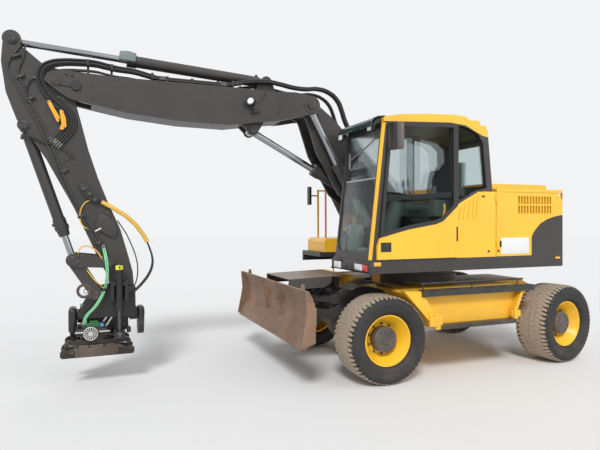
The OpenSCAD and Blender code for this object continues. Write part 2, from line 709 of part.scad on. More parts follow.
// Window outlines, drawn in by a gap g
function right_window(g) = [
    [1235 - g, 1760 + g], [1100 - g, cab_top - 190 - g],
    [175 + pillar_w + g, cab_top - 165 - g], [175 + pillar_w + g, 1760 + g]
];
function right_rear_window(g) = [
    [150 - g, 1960 + g], [150 - g, cab_top - 165 - g], [-150 + g, cab_top - 225 - g],
    [-250 + g, cab_top - 310 - g], [-300 + g, 1960 + g]
];
function rear_quarter(g) = [
    [140 - g, 2125 + g], [140 - g, cab_top - 125 - g], [20, cab_top - 140 - g],
    [-157 + g, cab_top - 215 - g], [-233 + g, cab_top - 320 - g], [-286 + g, 2300 + g],
    [-243 + g, 2285 + g], [-156 + g, 2272 + g]
];
module cab_windows() {
    // Left side door opening and rear quarter
    plate(upper_half - 60, upper_half + 10) {
        polygon([[1230, 1500], [front_x(1700) - 90, 1700], [front_x(cab_eave) - 90, cab_top - 190],
            [175 + pillar_w, cab_top - 150], [175 + pillar_w, 1500]]);
        polygon(rear_quarter(0));
    }
    plate(cab_y0 - 10, cab_y0 + 60) {
        polygon(right_window(0));
        polygon(right_rear_window(0));
    }
    // Windscreen with round lower corners, and the back window
    through_front(-200, 50) polygon(windscreen(0));
    box(cab_back - 20, cab_back + 120, cab_y0 + 110, upper_half - 110, 2330, cab_top - 340);
}
module cab_frame() {
    color(grey) upper() difference() {
        cab_shell();
        cab_windows();
        // Seat of the yellow panel behind the door
        plate(upper_half - panel_t - 0.3, upper_half + 1) polygon(concat(
            [[door_back, cab_floor - 5], [door_back, 2076]], rear_sill, [[-396, cab_floor - 5]]
        ));
    }
}
module cab_roof() {
    color(yellow) upper() {
        plate(cab_y0, upper_half) polygon(concat(roof_line, [
            [-309, cab_top - 180], [-266, cab_top - 98], [-200, beacon_z - 60], [-170, beacon_z],
            [-20, beacon_z],
            [20, cab_top - 14], [180, cab_top], [600, cab_top - 16], [952, cab_top - 45],
            [front_x(cab_eave) - 30, cab_top - 78], [front_x(cab_eave) + 2, cab_top - 100]
        ]));
        // Yellow strip down the near front corner
        along_front(cab_floor + 5, cab_eave - 5)
            translate([-cab_corner_r, upper_half - cab_corner_r]) intersection() {
                difference() {
                    circle(cab_corner_r + 7);
                    circle(cab_corner_r + 0.3);
                }
                polygon([[0, 0], [200, 60], [200, 260]]);
            }
    }
}
beacon_z = cab_top - 50;
module cab_glass() {
    color(glass) upper() {
        through_front(-20, -14) polygon(windscreen(0.3));
        plate(cab_y0 + 15, cab_y0 + 21) {
            polygon(right_window(0.3));
            polygon(right_rear_window(0.3));
        }
        plate(upper_half - 21, upper_half - 15) polygon(rear_quarter(0.3));
        box(cab_back + 20, cab_back + 26, cab_y0 + 110.3, upper_half - 110.3, 2330.3, cab_top - 340.3);
    }
}
// Outer edge of the door's window frame, and the glass opening in it
door_outer = concat(sill, [
    [door_back, 2076], [door_back, cab_top - 142], [240, cab_top - 112],
    [front_x(cab_eave) - 58, cab_top - 158]
]);
function door_window(g) = [
    [1205 - g, 1750 + g], [879, 1836 + g], [489, 1900 + g], [400, 1930 + g], [235 + g, 2085 + g],
    [235 + g, cab_top - 162 - g], [front_x(cab_eave) - 92 - g, cab_top - 196 - g]
];
module cab_door() {
    // Yellow lower panel with its vent
    color(yellow) upper() plate(upper_half + 0.3, upper_half + panel_t + 0.3) difference() {
        polygon(concat(
            [[door_back, cab_floor + 10], [1285, cab_floor + 10], [1285, 1600]], sill, [[door_back, 2076]]
        ));
        for (k = [0:3]) translate([1118 + k * 30, 1548]) square([18, 88]);
    }
}
module cab_door_frame() {
    color(black) upper() {
        plate(upper_half + 0.3, upper_half + panel_t + 0.3) difference() {
            translate([0, 0.3]) polygon(door_outer);
            polygon(door_window(0));
        }
        // Bar across the window, inside the glass, and the handle
        plate(upper_half + 0.3, upper_half + 10) intersection() {
            polygon(mid_bar);
            polygon(door_window(0.3));
        }
    }
}
module cab_door_glass() {
    color(glass) upper() plate(upper_half + 12, upper_half + 18) polygon(door_window(0.3));
}
module visor() {
    color(black) upper() {
        // Rain guard over the windscreen
        plate(cab_y0 + 40, upper_half - 60) polygon([
            [front_x(cab_eave) + 2.3, cab_eave + 10], [front_x(cab_eave) + 110, cab_eave - 50],
            [front_x(cab_eave) + 118, cab_eave - 42], [front_x(cab_eave) + 80, cab_eave + 20],
            [front_x(cab_eave) + 2.3, cab_eave + 55]
        ]);
    }
}
module seat() {
    color(black) upper() translate([0, (cab_y0 + upper_half) / 2, 0]) {
        plate(-240, 240) polygon([[-60, 1960], [420, 1960], [440, 2000], [420, 2060], [-60, 2030]]);
        plate(-230, 230) polygon([[-60, 2030.3], [50, 2040], [-60, 2640], [-160, 2640], [-150, 2100]]);
        box(0, 340, -180, 180, cab_floor + 55.3, 1959.7);
    }
}
module consoles() {
    color(grey) upper() translate([0, (cab_y0 + upper_half) / 2, 0]) {
        for (side = [-1, 1]) scale([1, side, 1]) {
            box(-80, 420, 270, 380, 1950, 2150);
            translate([380, 325, 2150]) cylinder(r = 22, h = 170);
            box(0, 300, 240.3, 272, 1962, 2028);
        }
        // Steering column
        plate(-60, 60) polygon([
            [800, cab_floor + 55.3], [1000, cab_floor + 55.3], [760, 2150], [680, 2110]
        ]);
    }
}
module rails() {
    color(yellow) upper() {
        for (x = [870, 1000]) translate([x, -1090, 1640.3]) cylinder(r = 16, h = 745);
        translate([870, -1090, 2370]) rotate([0, 90, 0]) cylinder(r = 13, h = 130);
    }
}
module mirrors() {
    color(black) upper() {
        box(1122, 1157, upper_half + 45, upper_half + 185, 2705, 3000);
        translate([1140, upper_half - 2.3, 2985]) rotate([-90, 0, 0]) cylinder(r = 10, h = 60);
        translate([1105, -1190, 2150]) box(0, 35, 0, 90, 0, 280);
        translate([1016.3, -1090, 2290]) rotate([0, 90, 0]) cylinder(r = 10, h = 100);
        translate([1110, -1110, 2290]) rotate([90, 0, 0]) cylinder(r = 10, h = 20, center = true);
    }
}
module lamps() {
    color(steel) upper() {
        for (y = [cab_y0 + 100, upper_half - 120]) translate([cab_front + 0.3, y, 1350])
            box(0, 40, -60, 60, 0, 60);
        translate([-95, 700, beacon_z + 0.3]) cylinder(r = 60, h = 110);
    }
}

// BOOM

module base_outline() {
    translate(pin_foot) circle(125);
    translate(pin_joint) circle(140);
    polygon([
        pin_foot + [80, -96], [700, 1900], [1180, 2260], [1492, 2789], [1638, 3231],
        pin_joint + [140, 0], pin_joint + [-60, 126], [1250, 3280], [760, 2800], [250, 2250],
        pin_foot + [-115, 50]
    ]);
}
module base_boom() {
    color(grey) boom_side() {
        plates(base_half_w - 30, base_half_w) base_outline();
        // Back plate that closes the fork from behind
        plate(-base_half_w, base_half_w) polygon([
            pin_foot + [-115, 50], [250, 2250], [760, 2800], [1250, 3280], [1275, 3255], [785, 2775],
            [280, 2230], pin_foot + [-60, 70]
        ]);
        // Cross tubes at the foot and the joint
        bar_y(pin_foot, 120, -base_half_w, base_half_w);
        bar_y(pin_joint, 110, -base_half_w, base_half_w);
        bars_y(pin_joint, 45, base_half_w, lift_lane - 40);
        bars_y(pin_adjust, 40, 55.3, base_half_w);
    }
}
lift_gland = 1291;
lift_rod_l = 1600;
adjust_gland = 1050;
adjust_rod_l = 1300;
arm_gland = 1730;
arm_rod_l = 1850;
tool_gland = 1202;
tool_rod_l = 1250;
module lift_barrels() {
    color(grey) boom_side() for (y = [-1, 1] * lift_lane)
        on_line(pin_lift, pin_joint, y) barrel(lift_barrel_r, lift_rod_r, lift_gland, 70, 62);
}
module lift_rods() {
    color(steel) boom_side() for (y = [-1, 1] * lift_lane)
        on_line(pin_joint, pin_lift, y) scale([-1, 1, 1])
            rod(lift_rod_r, lift_rod_l, 70, 70, lift_barrel_r - 12);
}
module adjust_barrel() {
    color(grey) boom_side() on_line(pin_adjust, pin_belly, 0)
        barrel(adjust_barrel_r, adjust_rod_r, adjust_gland, 110, 70);
}
module adjust_rod() {
    color(steel) boom_side() on_line(pin_belly, pin_adjust, 0) scale([-1, 1, 1])
        rod(adjust_rod_r, adjust_rod_l, 110, 65, adjust_barrel_r - 12);
}
module front_outline() {
    translate(pin_joint) circle(125);
    polygon([
        pin_joint + [0, 125], [2055, 3570], [2900, 3575], [4065, 3570], [4600, 3595], [4750, 3560],
        [4790, 3470], [4640, 3350], [4514, 3275], [3900, 3160], [3300, 3105], [2688, 3097],
        [2350, 3150], [1952, 3206], pin_joint + [10, -125]
    ]);
}
// Plan of the front boom: a box that flares to the ears of the joint and forks at the nose,
// with doubled sides round the nose
module front_plan() {
    for (side = [-1, 1]) scale([1, side])
        polygon([
            [1400, 295], [1780, 295], [1990, 150], [1990, -0.5], [4300, -0.5], [4300, 128], [4900, 128],
            [4900, 171], [4300, boom_half_w + 6], [4066, boom_half_w + 6], [4066, boom_half_w],
            [2055, boom_half_w], [1860, 325], [1400, 325]
        ]);
}
module front_boom() {
    color(grey) boom_side() {
        intersection() {
            plate(-400, 400) front_outline();
            translate([0, 0, 2800]) linear_extrude(1000) front_plan();
        }
        // Belly lugs of the adjusting cylinder
        plates(75, 105) {
            translate(pin_belly) circle(75);
            polygon([pin_belly + [-70, -20], pin_belly + [-160, 120], pin_belly + [220, 120],
                pin_belly + [70, -20]]);
        }
        bars_y(pin_belly, 45, 105, 125);
        // Lugs of the arm cylinder on the back
        plates(70, 95) {
            translate(pin_arm_cyl) circle(70);
            polygon([pin_arm_cyl + [-68, 10], pin_arm_cyl + [-130, -150], pin_arm_cyl + [180, -150],
                pin_arm_cyl + [68, 10]]);
        }
        bars_y(pin_joint, 100, 320, 334);
        bars_y(pin_joint, 45, 285, 346);
        bars_y(pin_nose, 70, 165, 186);
        bars_y(pin_nose, 45, 165, 192);
    }
}
module arm_barrel() {
    color(grey) boom_side() on_line(pin_arm_cyl, pin_arm_eye, 0)
        barrel(arm_barrel_r, arm_rod_r, arm_gland, 110, 65);
}
module arm_rod() {
    color(steel) boom_side() on_line(pin_arm_eye, pin_arm_cyl, 0) scale([-1, 1, 1])
        rod(arm_rod_r, arm_rod_l, 90, 68, arm_barrel_r - 12);
}
module arm_outline() {
    translate(pin_nose) circle(150);
    polygon([
        [5199, 3860], [5215, 3652], [5170, 3317], [5066, 3023], [4930, 2840], [4775, 2600], [4499, 2075],
        [4200, 1400], [4000, 1010], [3830, 1050], [3850, 1300], [3892, 1465], [3983, 1797], [4138, 2159],
        [4230, 2402], [4332, 2721], [4400, 3000], pin_nose + [-148, -20], pin_nose + [-60, 137],
        [4800, 3660], [5040, 3860]
    ]);
}
lift_eye = [4384, 1105];
// Lanes of the tool linkage, from the middle plane
bracket_in = 117;
bracket_out = 141;
link_in = 146;
link_out = 170;
rocker_in = 175;
rocker_out = 200;
module arm() {
    color(grey) boom_side() {
        difference() {
            plate(-arm_half_w, arm_half_w) arm_outline();
            // Fork that holds the arm cylinder's eye
            plate(-50, 50) translate(pin_arm_eye) circle(230);
            // Pocket for the tool cylinder between the front ears
            plate(-75, 75) {
                translate(pin_tool_cyl) circle(88);
                polygon([pin_tool_cyl + [-88, 0], pin_tool_cyl + [-250, -430], pin_tool_cyl + [100, -500],
                    pin_tool_cyl + [200, 0]]);
            }
        }
        // Top eye and upper ears of the tool cylinder
        plates(60, arm_half_w) translate(pin_arm_eye) circle(95);
        plates(78, 105) strap(pin_tool_cyl, 70, pin_tool_cyl + [-60, 20], 70);
        for (p = [[pin_arm_eye, 45.3], [pin_tool_cyl, 50.3]]) {
            bars_y(p[0], 42, p[1], arm_half_w + 18);
            bars_y(p[0], 62, arm_half_w - 5, arm_half_w + 12);
        }
        bar_y(pin_nose, 110, -127.7, 127.7);
        bar_y(pin_hitch, 85, -bracket_in + 0.3, bracket_in - 0.3);
        bar_y(pin_rocker, 60, -rocker_in + 0.3, rocker_in - 0.3);
    }
}
module tool_barrel() {
    color(grey) boom_side() on_line(pin_tool_cyl, pin_tool_eye, 0)
        barrel(arm_barrel_r - 5, arm_rod_r, tool_gland, 100, 60);
}
module tool_rod() {
    color(steel) boom_side() on_line(pin_tool_eye, pin_tool_cyl, 0) scale([-1, 1, 1])
        {
            rod(arm_rod_r, tool_rod_l, 90, 60, arm_barrel_r - 18);
            rotate([90, 0, 0]) cylinder(r = 40, h = 2 * link_in - 0.6, center = true);
        }
}
module rocker() {
    color(grey) boom_side() {
        plates(rocker_in, rocker_out) strap(pin_rocker, 65, pin_tool_eye, 75);
        bars_y(pin_tool_eye, 40, link_out + 0.3, rocker_out + 8);
    }
}
module tool_link() {
    color(grey) boom_side() {
        plates(link_in, link_out) strap(pin_tool_eye, 70, pin_link, 65);
        // Lifting eye
        plate(link_in, link_out) difference() {
            strap(lift_eye, 84, pin_link, 50);
            translate(lift_eye) circle(54);
            translate(pin_link) circle(40);
        }
    }
}

// TOOL HITCH, ROTATOR AND COUPLER

tool_x = 4240;
hook_z = 455;
tilt_axis_z = 800;
tilt_shaft_r = 45;
ring_z = 600;
tilt_cyl_x = 4010;
tilt_cyl_y = 275;
tilt_trunnion_z = 1180;
tilt_eye_z = 600;
module tool_bracket() {
    color(grey) boom_side() {
        plates(bracket_in, bracket_out) {
            strap(pin_hitch, 80, pin_link, 75);
            polygon([pin_hitch + [-75, 20], [3820, tilt_axis_z + 60], [3830, tilt_axis_z - 15],
                [4430, tilt_axis_z - 15], [4440, tilt_axis_z + 60], pin_link + [70, 20]]);
        }
        bars_y(pin_link, 45, bracket_out, link_in - 0.3);
        bars_y(pin_link, 42, 60, bracket_in + 5);
        // Cross walls with the bearings of the tilt shaft
        difference() {
            union() {
                box(3830, 3870, -bracket_out, bracket_out, tilt_axis_z, 980);
                box(4390, 4430, -bracket_out, bracket_out, tilt_axis_z, 920);
                for (x = [3800, 4380]) translate([0, 0, tilt_axis_z]) bar_x(80, x, x + 80);
            }
            translate([0, 0, tilt_axis_z]) bar_x(tilt_shaft_r + 0.5, 3790, 4470);
        }
        // Outriggers with the trunnion ears of the tilt cylinders
        for (side = [-1, 1]) scale([1, side, 1]) for (dx = [-95, 60])
            translate([tilt_cyl_x + dx, 0, 0]) {
                box(0, 35, bracket_out - 5, tilt_cyl_y + 40, 990, 1085);
                box(0, 35, tilt_cyl_y - 50, tilt_cyl_y + 40, 990, tilt_trunnion_z + 40);
            }
    }
}
module tilt_barrel(side) {
    color(black) boom_side() translate([tilt_cyl_x, side * tilt_cyl_y, 0]) difference() {
        union() {
            translate([0, 0, 880]) cylinder(r = 46, h = 465);
            translate([0, 0, tilt_trunnion_z]) bar_x(25, -59.7, 59.7);
        }
        translate([0, 0, 870]) cylinder(r = 22.4, h = 60);
        translate([0, 0, 920]) cylinder(r = 36, h = 410);
    }
}
module tilt_barrel_left() { tilt_barrel(1); }
module tilt_barrel_right() { tilt_barrel(-1); }
module tilt_rod(side) {
    color(steel) boom_side() translate([tilt_cyl_x, side * tilt_cyl_y, tilt_eye_z]) {
        cylinder(r = 22, h = 560);
        rotate([0, 90, 0]) cylinder(r = 42, h = 48, center = true);
        translate([0, 0, 530]) cylinder(r = 35, h = 30);
    }
}
module tilt_rod_left() { tilt_rod(1); }
module tilt_rod_right() { tilt_rod(-1); }
module rotator() {
    color(black) boom_side() {
        // Gear housing: a round ring between two rounded ends
        translate([tool_x, 0, ring_z]) {
            cylinder(r = 215, h = 100);
            linear_extrude(84) strap([-190, 0], 112, [190, 0], 112);
        }
        // Upright castings that carry the tilt shaft at both ends
        for (x = [3722, 4470]) along(x, x + 68) strap([0, tilt_axis_z], 78, [0, ring_z + 60], 112);
        translate([0, 0, tilt_axis_z]) {
            bar_x(tilt_shaft_r, 3710, 4550);
            bar_x(62, 3886, 4374);
        }
        box(3900, 4360, -80, 80, ring_z + 20, tilt_axis_z - 90);
        box(3900, 4360, -58, 58, tilt_axis_z - 95, tilt_axis_z + 20);
        // Outriggers with the eyes of the tilt cylinders
        for (side = [-1, 1]) scale([1, side, 1]) {
            box(tilt_cyl_x - 60, tilt_cyl_x + 60, 90, 222, ring_z - 10, ring_z + 60);
            for (dx = [-60, 28])
                box(tilt_cyl_x + dx, tilt_cyl_x + dx + 32, 220, tilt_cyl_y + 35, ring_z - 40, ring_z + 60);
        }
        // Drive motor beside the ring, with its round end cover
        translate([0, 190, ring_z + 45]) bar_x(40, tool_x - 90, tool_x + 235);
        bar_y([tool_x + 79, ring_z + 24], 74, 196, 222);
    }
}
// One end of a hook plate, ahead of the coupler's middle
hook_half = [
    [-1, 540], [150, 540], [255, 545], [318, 545], [345, 530], [350, 505], [402, 415], [404, 372],
    [385, 345], [-1, 345]
];
module coupler() {
    half = tool_pin_width / 2;
    seat = tool_pin_centres / 2;
    pin_r = tool_pin_d / 2 + 0.5;
    color(rust) boom_side() translate([tool_x, 0, 0]) difference() {
        union() {
            translate([0, 0, ring_z - 45]) cylinder(r = 190, h = 44.7);
            translate([0, 0, ring_z - 62]) cylinder(r = 150, h = 20);
            // Hook plates, the same at both ends
            for (end = [-1, 1]) scale([end, 1, 1]) {
                plates(half - 60, half - 15) polygon(hook_half);
                // Cross block behind each mouth
                plate(-half + 20, half - 20) polygon([[120, 520], [120, 380], [190, 345], [300, 345],
                    [300, 400], [seat - 45, 430], [seat - 45, 480], [170, 530]]);
            }
            box(-190, 190, -half + 20, half - 20, 500, ring_z - 60);
            // Cheek plates between the hooks
            plates(half - 16, half) polygon([
                [-seat + 22, 362], [seat + 2, 352], [seat + 2, 478], [-seat + 22, 472]
            ]);
        }
        // Mouths for the pins, open to the outside
        for (end = [-1, 1]) scale([end, 1, 1]) {
            bar_y([seat, hook_z], pin_r, -half - 1, half + 1);
            plate(-half - 1, half + 1) polygon([[seat, hook_z - pin_r], [seat + 200, hook_z - pin_r - 12],
                [seat + 200, hook_z + pin_r + 16], [seat, hook_z + pin_r]]);
        }
    }
}

chassis_frame();
axle_fixed();
axle_steer();
steps();
knuckle_left();
knuckle_right();
rim_front_left();
rim_front_right();
rim_rear_left();
rim_rear_right();
tyre_front_left();
tyre_front_right();
tyre_rear_left();
tyre_rear_right();
blade_arms();
blade_links();
blade();
blade_barrels();
blade_rods();
deck();
counterweight();
engine_block();
tanks();
side_panels();
hood();
engine_door_left();
engine_door_right();
cab_frame();
cab_roof();
cab_glass();
cab_door();
cab_door_frame();
cab_door_glass();
visor();
seat();
consoles();
rails();
mirrors();
lamps();
base_boom();
lift_barrels();
lift_rods();
adjust_barrel();
adjust_rod();
front_boom();
arm_barrel();
arm_rod();
arm();
tool_barrel();
tool_rod();
rocker();
tool_link();
tool_bracket();
tilt_barrel_left();
tilt_barrel_right();
tilt_rod_left();
tilt_rod_right();
rotator();
coupler();
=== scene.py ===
# %% [markdown]
# # A wheeled excavator, dressed
#
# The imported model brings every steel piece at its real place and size. This lesson adds what a
# maker would call the finish: the camera, the studio, paint, rubber, chrome and glass, and then
# the small pieces that are fitted last, such as tyres, hoses, lamps and the pads of the seat.

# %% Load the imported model
import json
import math

import bmesh
import bpy
from mathutils import Matrix, Vector
from mathutils.geometry import interpolate_bezier
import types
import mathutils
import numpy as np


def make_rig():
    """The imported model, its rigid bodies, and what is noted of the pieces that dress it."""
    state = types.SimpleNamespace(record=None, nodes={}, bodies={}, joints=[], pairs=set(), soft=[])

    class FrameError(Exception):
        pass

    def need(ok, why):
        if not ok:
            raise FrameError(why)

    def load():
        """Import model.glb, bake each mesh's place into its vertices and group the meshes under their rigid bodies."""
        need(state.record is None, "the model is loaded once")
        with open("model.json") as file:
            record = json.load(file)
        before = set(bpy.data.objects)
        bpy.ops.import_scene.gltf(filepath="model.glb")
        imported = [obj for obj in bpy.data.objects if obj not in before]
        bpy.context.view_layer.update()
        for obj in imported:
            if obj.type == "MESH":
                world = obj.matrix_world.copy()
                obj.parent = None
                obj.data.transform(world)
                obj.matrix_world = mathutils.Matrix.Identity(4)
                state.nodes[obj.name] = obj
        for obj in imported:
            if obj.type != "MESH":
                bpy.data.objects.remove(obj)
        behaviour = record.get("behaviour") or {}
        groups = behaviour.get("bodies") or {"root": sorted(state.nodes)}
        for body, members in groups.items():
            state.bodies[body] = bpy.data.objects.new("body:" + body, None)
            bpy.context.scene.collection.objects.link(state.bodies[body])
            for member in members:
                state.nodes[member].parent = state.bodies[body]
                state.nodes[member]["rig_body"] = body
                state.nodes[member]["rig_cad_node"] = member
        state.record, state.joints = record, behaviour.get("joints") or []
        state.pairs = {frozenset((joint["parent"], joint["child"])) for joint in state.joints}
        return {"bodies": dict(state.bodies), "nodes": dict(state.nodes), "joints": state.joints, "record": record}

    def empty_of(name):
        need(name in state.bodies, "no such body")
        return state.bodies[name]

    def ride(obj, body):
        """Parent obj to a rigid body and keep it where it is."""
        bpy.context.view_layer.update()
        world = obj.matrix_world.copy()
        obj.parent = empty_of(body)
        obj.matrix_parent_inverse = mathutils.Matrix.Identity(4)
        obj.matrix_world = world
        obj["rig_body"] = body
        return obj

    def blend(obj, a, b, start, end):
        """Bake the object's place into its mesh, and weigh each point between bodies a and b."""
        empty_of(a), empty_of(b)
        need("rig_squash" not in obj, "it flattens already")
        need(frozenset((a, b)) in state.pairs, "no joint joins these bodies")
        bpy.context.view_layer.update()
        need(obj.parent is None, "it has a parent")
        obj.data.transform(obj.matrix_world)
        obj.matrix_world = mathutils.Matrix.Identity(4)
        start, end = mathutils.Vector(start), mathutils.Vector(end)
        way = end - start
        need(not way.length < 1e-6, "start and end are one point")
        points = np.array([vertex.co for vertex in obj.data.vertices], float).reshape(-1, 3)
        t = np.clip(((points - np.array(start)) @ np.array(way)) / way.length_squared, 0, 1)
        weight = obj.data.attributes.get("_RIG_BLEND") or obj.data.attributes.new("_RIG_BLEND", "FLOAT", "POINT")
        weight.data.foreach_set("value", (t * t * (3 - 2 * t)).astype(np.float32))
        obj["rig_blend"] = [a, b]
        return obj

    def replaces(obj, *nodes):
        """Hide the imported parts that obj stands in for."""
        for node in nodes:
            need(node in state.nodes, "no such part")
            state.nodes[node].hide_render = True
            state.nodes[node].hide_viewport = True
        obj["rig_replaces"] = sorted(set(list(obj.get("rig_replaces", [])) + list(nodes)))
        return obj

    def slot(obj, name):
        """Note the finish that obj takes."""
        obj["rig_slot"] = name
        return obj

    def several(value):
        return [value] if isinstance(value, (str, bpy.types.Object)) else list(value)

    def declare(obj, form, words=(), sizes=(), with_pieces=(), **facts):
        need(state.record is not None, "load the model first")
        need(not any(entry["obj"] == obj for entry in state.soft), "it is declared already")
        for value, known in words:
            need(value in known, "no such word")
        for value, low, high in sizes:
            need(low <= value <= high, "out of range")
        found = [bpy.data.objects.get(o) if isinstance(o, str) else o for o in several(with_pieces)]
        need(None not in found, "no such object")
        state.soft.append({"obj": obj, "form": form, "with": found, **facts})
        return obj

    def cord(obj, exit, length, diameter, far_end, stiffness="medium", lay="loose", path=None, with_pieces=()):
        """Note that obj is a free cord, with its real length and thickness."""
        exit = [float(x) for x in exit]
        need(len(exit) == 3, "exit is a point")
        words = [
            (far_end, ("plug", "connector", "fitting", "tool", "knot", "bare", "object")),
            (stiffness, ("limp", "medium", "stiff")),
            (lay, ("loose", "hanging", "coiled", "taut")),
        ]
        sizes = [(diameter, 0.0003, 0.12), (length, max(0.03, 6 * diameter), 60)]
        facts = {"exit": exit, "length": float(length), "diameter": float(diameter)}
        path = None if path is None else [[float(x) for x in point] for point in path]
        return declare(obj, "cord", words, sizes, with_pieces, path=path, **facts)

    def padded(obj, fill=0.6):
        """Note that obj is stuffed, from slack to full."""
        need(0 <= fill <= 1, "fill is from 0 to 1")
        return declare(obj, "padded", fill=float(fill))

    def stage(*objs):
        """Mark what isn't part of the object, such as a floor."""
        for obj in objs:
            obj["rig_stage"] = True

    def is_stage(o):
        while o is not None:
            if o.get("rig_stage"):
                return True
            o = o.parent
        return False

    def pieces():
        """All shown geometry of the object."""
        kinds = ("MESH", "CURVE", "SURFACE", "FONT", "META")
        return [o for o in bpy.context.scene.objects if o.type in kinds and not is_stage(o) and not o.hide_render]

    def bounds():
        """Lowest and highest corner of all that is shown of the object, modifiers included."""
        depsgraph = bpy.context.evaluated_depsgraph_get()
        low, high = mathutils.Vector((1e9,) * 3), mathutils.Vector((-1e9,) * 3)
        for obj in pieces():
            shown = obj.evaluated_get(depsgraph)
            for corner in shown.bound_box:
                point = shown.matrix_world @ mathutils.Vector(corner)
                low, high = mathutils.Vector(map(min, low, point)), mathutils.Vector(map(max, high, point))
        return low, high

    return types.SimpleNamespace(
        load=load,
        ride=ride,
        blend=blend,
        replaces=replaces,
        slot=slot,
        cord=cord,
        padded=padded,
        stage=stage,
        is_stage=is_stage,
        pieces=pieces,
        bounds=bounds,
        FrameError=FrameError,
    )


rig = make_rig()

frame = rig.load()
cad_low, cad_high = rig.bounds()
print("bodies", len(frame["bodies"]), "nodes", len(frame["nodes"]))

# %% [markdown]
# The model's origin is on the ground under the middle of the machine. Three helpers turn the
# drawing's millimetres into metres here: `chassis` counts from the middle between the axles,
# `upper` from the slew axis, and `boom` from the slew axis in the boom's own plane, which lies
# 160 mm to the right of the middle.

# %% Places and directions on the machine
AXLES_X = -1.785
SLEW_X = -1.591
BOOM_Y = -0.160
AHEAD, LEFT, UP = Vector((1, 0, 0)), Vector((0, 1, 0)), Vector((0, 0, 1))


def chassis(x, y, z):
    return Vector((AXLES_X + x / 1000, y / 1000, z / 1000))


def upper(x, y, z):
    return Vector((SLEW_X + x / 1000, y / 1000, z / 1000))


def boom(x, z, side=0):
    return Vector((SLEW_X + x / 1000, BOOM_Y + side / 1000, z / 1000))


print("slew axis at", upper(0, 0, 0)[:])

# %% [markdown]
# The camera stands where the photographer stood: 6.6 m to the left of the machine's middle and
# 3 m ahead of the cab, 1.9 m up, turned 21.6 degrees towards the tail. A camera looks along its
# own -Z, so its three axes go into one matrix as columns.

# %% Camera
CAMERA_PLACE, CAMERA_LENS = (2.7475, 6.5919, 1.8888), 32.17
YAW, PITCH, ROLL = -0.3762, -0.0063, 0.0031
look = Vector((math.sin(YAW) * math.cos(PITCH), -math.cos(YAW) * math.cos(PITCH), math.sin(PITCH)))
across = Vector((-math.cos(YAW), -math.sin(YAW), 0))
down = look.cross(across)
right = math.cos(ROLL) * across + math.sin(ROLL) * down
below = -math.sin(ROLL) * across + math.cos(ROLL) * down

camera_data = bpy.data.cameras.new("camera")
camera_data.sensor_width = 36
camera_data.lens = CAMERA_LENS
camera = bpy.data.objects.new("camera", camera_data)
axes = Matrix((right, -below, -look)).transposed().to_4x4()
camera.matrix_world = Matrix.Translation(CAMERA_PLACE) @ axes
bpy.context.scene.collection.objects.link(camera)
bpy.context.scene.camera = camera
print("camera at", [round(v, 3) for v in camera.location])

# %% [markdown]
# The studio's light and every finish are small graphs of shader nodes. One helper makes the kinds
# of node that come back, and plugs a number, a colour or another node's output into a socket.

# %% A helper for shader nodes
class Nodes:
    def __init__(self, owner):
        self.tree = owner.node_tree

    def new(self, kind):
        return self.tree.nodes.new("ShaderNode" + kind)

    def plug(self, socket, value):
        if isinstance(value, (int, float, tuple)):
            socket.default_value = value
        else:
            self.tree.links.new(value, socket)

    def surface(self, socket, value):
        self.plug(self.tree.nodes["Principled BSDF"].inputs[socket], value)

    def colour_so_far(self):
        return self.tree.nodes["Principled BSDF"].inputs["Base Color"].links[0].from_socket

    def coords(self):
        """Object coordinates, which are the machine's own."""
        return self.new("TexCoord").outputs["Object"]

    def normal(self):
        return self.new("NewGeometry").outputs["Normal"]

    def split(self, vector):
        node = self.new("SeparateXYZ")
        self.plug(node.inputs[0], vector)
        return node.outputs

    def calc(self, kind, *values):
        node = self.new("Math")
        node.operation = kind
        for socket, value in zip(node.inputs, values):
            self.plug(socket, value)
        return node.outputs[0]

    def ramp(self, value, low, high, to_low=0.0, to_high=1.0):
        """What runs from low to high, mapped to another range and clamped."""
        node = self.new("MapRange")
        for socket, given in zip(node.inputs, (value, low, high, to_low, to_high)):
            self.plug(socket, given)
        return node.outputs[0]

    def noise(self, scale, detail):
        node = self.new("TexNoise")
        node.inputs["Scale"].default_value = scale
        node.inputs["Detail"].default_value = detail
        self.plug(node.inputs["Vector"], self.coords())
        return node.outputs["Fac"]

    def mix(self, factor, a, b):
        """From colour a at 0 to colour b at 1."""
        node = self.new("Mix")
        node.data_type = "RGBA"
        for k, value in ((0, factor), (6, a), (7, b)):
            self.plug(node.inputs[k], value)
        return node.outputs[2]


def new_material(name, sockets):
    """A material with a plain value in each named socket."""
    material = bpy.data.materials.new(name)
    material.use_nodes = True
    for socket, value in sockets.items():
        Nodes(material).surface(socket, value)
    return material


print("node helper ready")

# %% [markdown]
# A studio needs a floor that catches the shadow, one large soft key light and a pale world that
# fills the dark side. The world is white only to camera, mirror and glass rays, and dimmer as a
# light, so the background is clean while the paint keeps its colour.

# %% Studio
WORLD_SEEN, WORLD_LIT = 0.92, 0.55
scene = bpy.context.scene
scene.view_settings.view_transform = "Standard"

world = bpy.data.worlds.new("studio")
scene.world = world
world.use_nodes = True
background = world.node_tree.nodes["Background"]
background.inputs["Color"].default_value = (0.97, 0.98, 1.0, 1)
sky = Nodes(world)
rays = sky.new("LightPath").outputs
seen = sky.calc("MAXIMUM", rays["Is Camera Ray"], rays["Is Transmission Ray"])
seen = sky.calc("MAXIMUM", seen, rays["Is Glossy Ray"])
sky.plug(background.inputs["Strength"], sky.ramp(seen, 0.0, 1.0, WORLD_LIT, WORLD_SEEN))

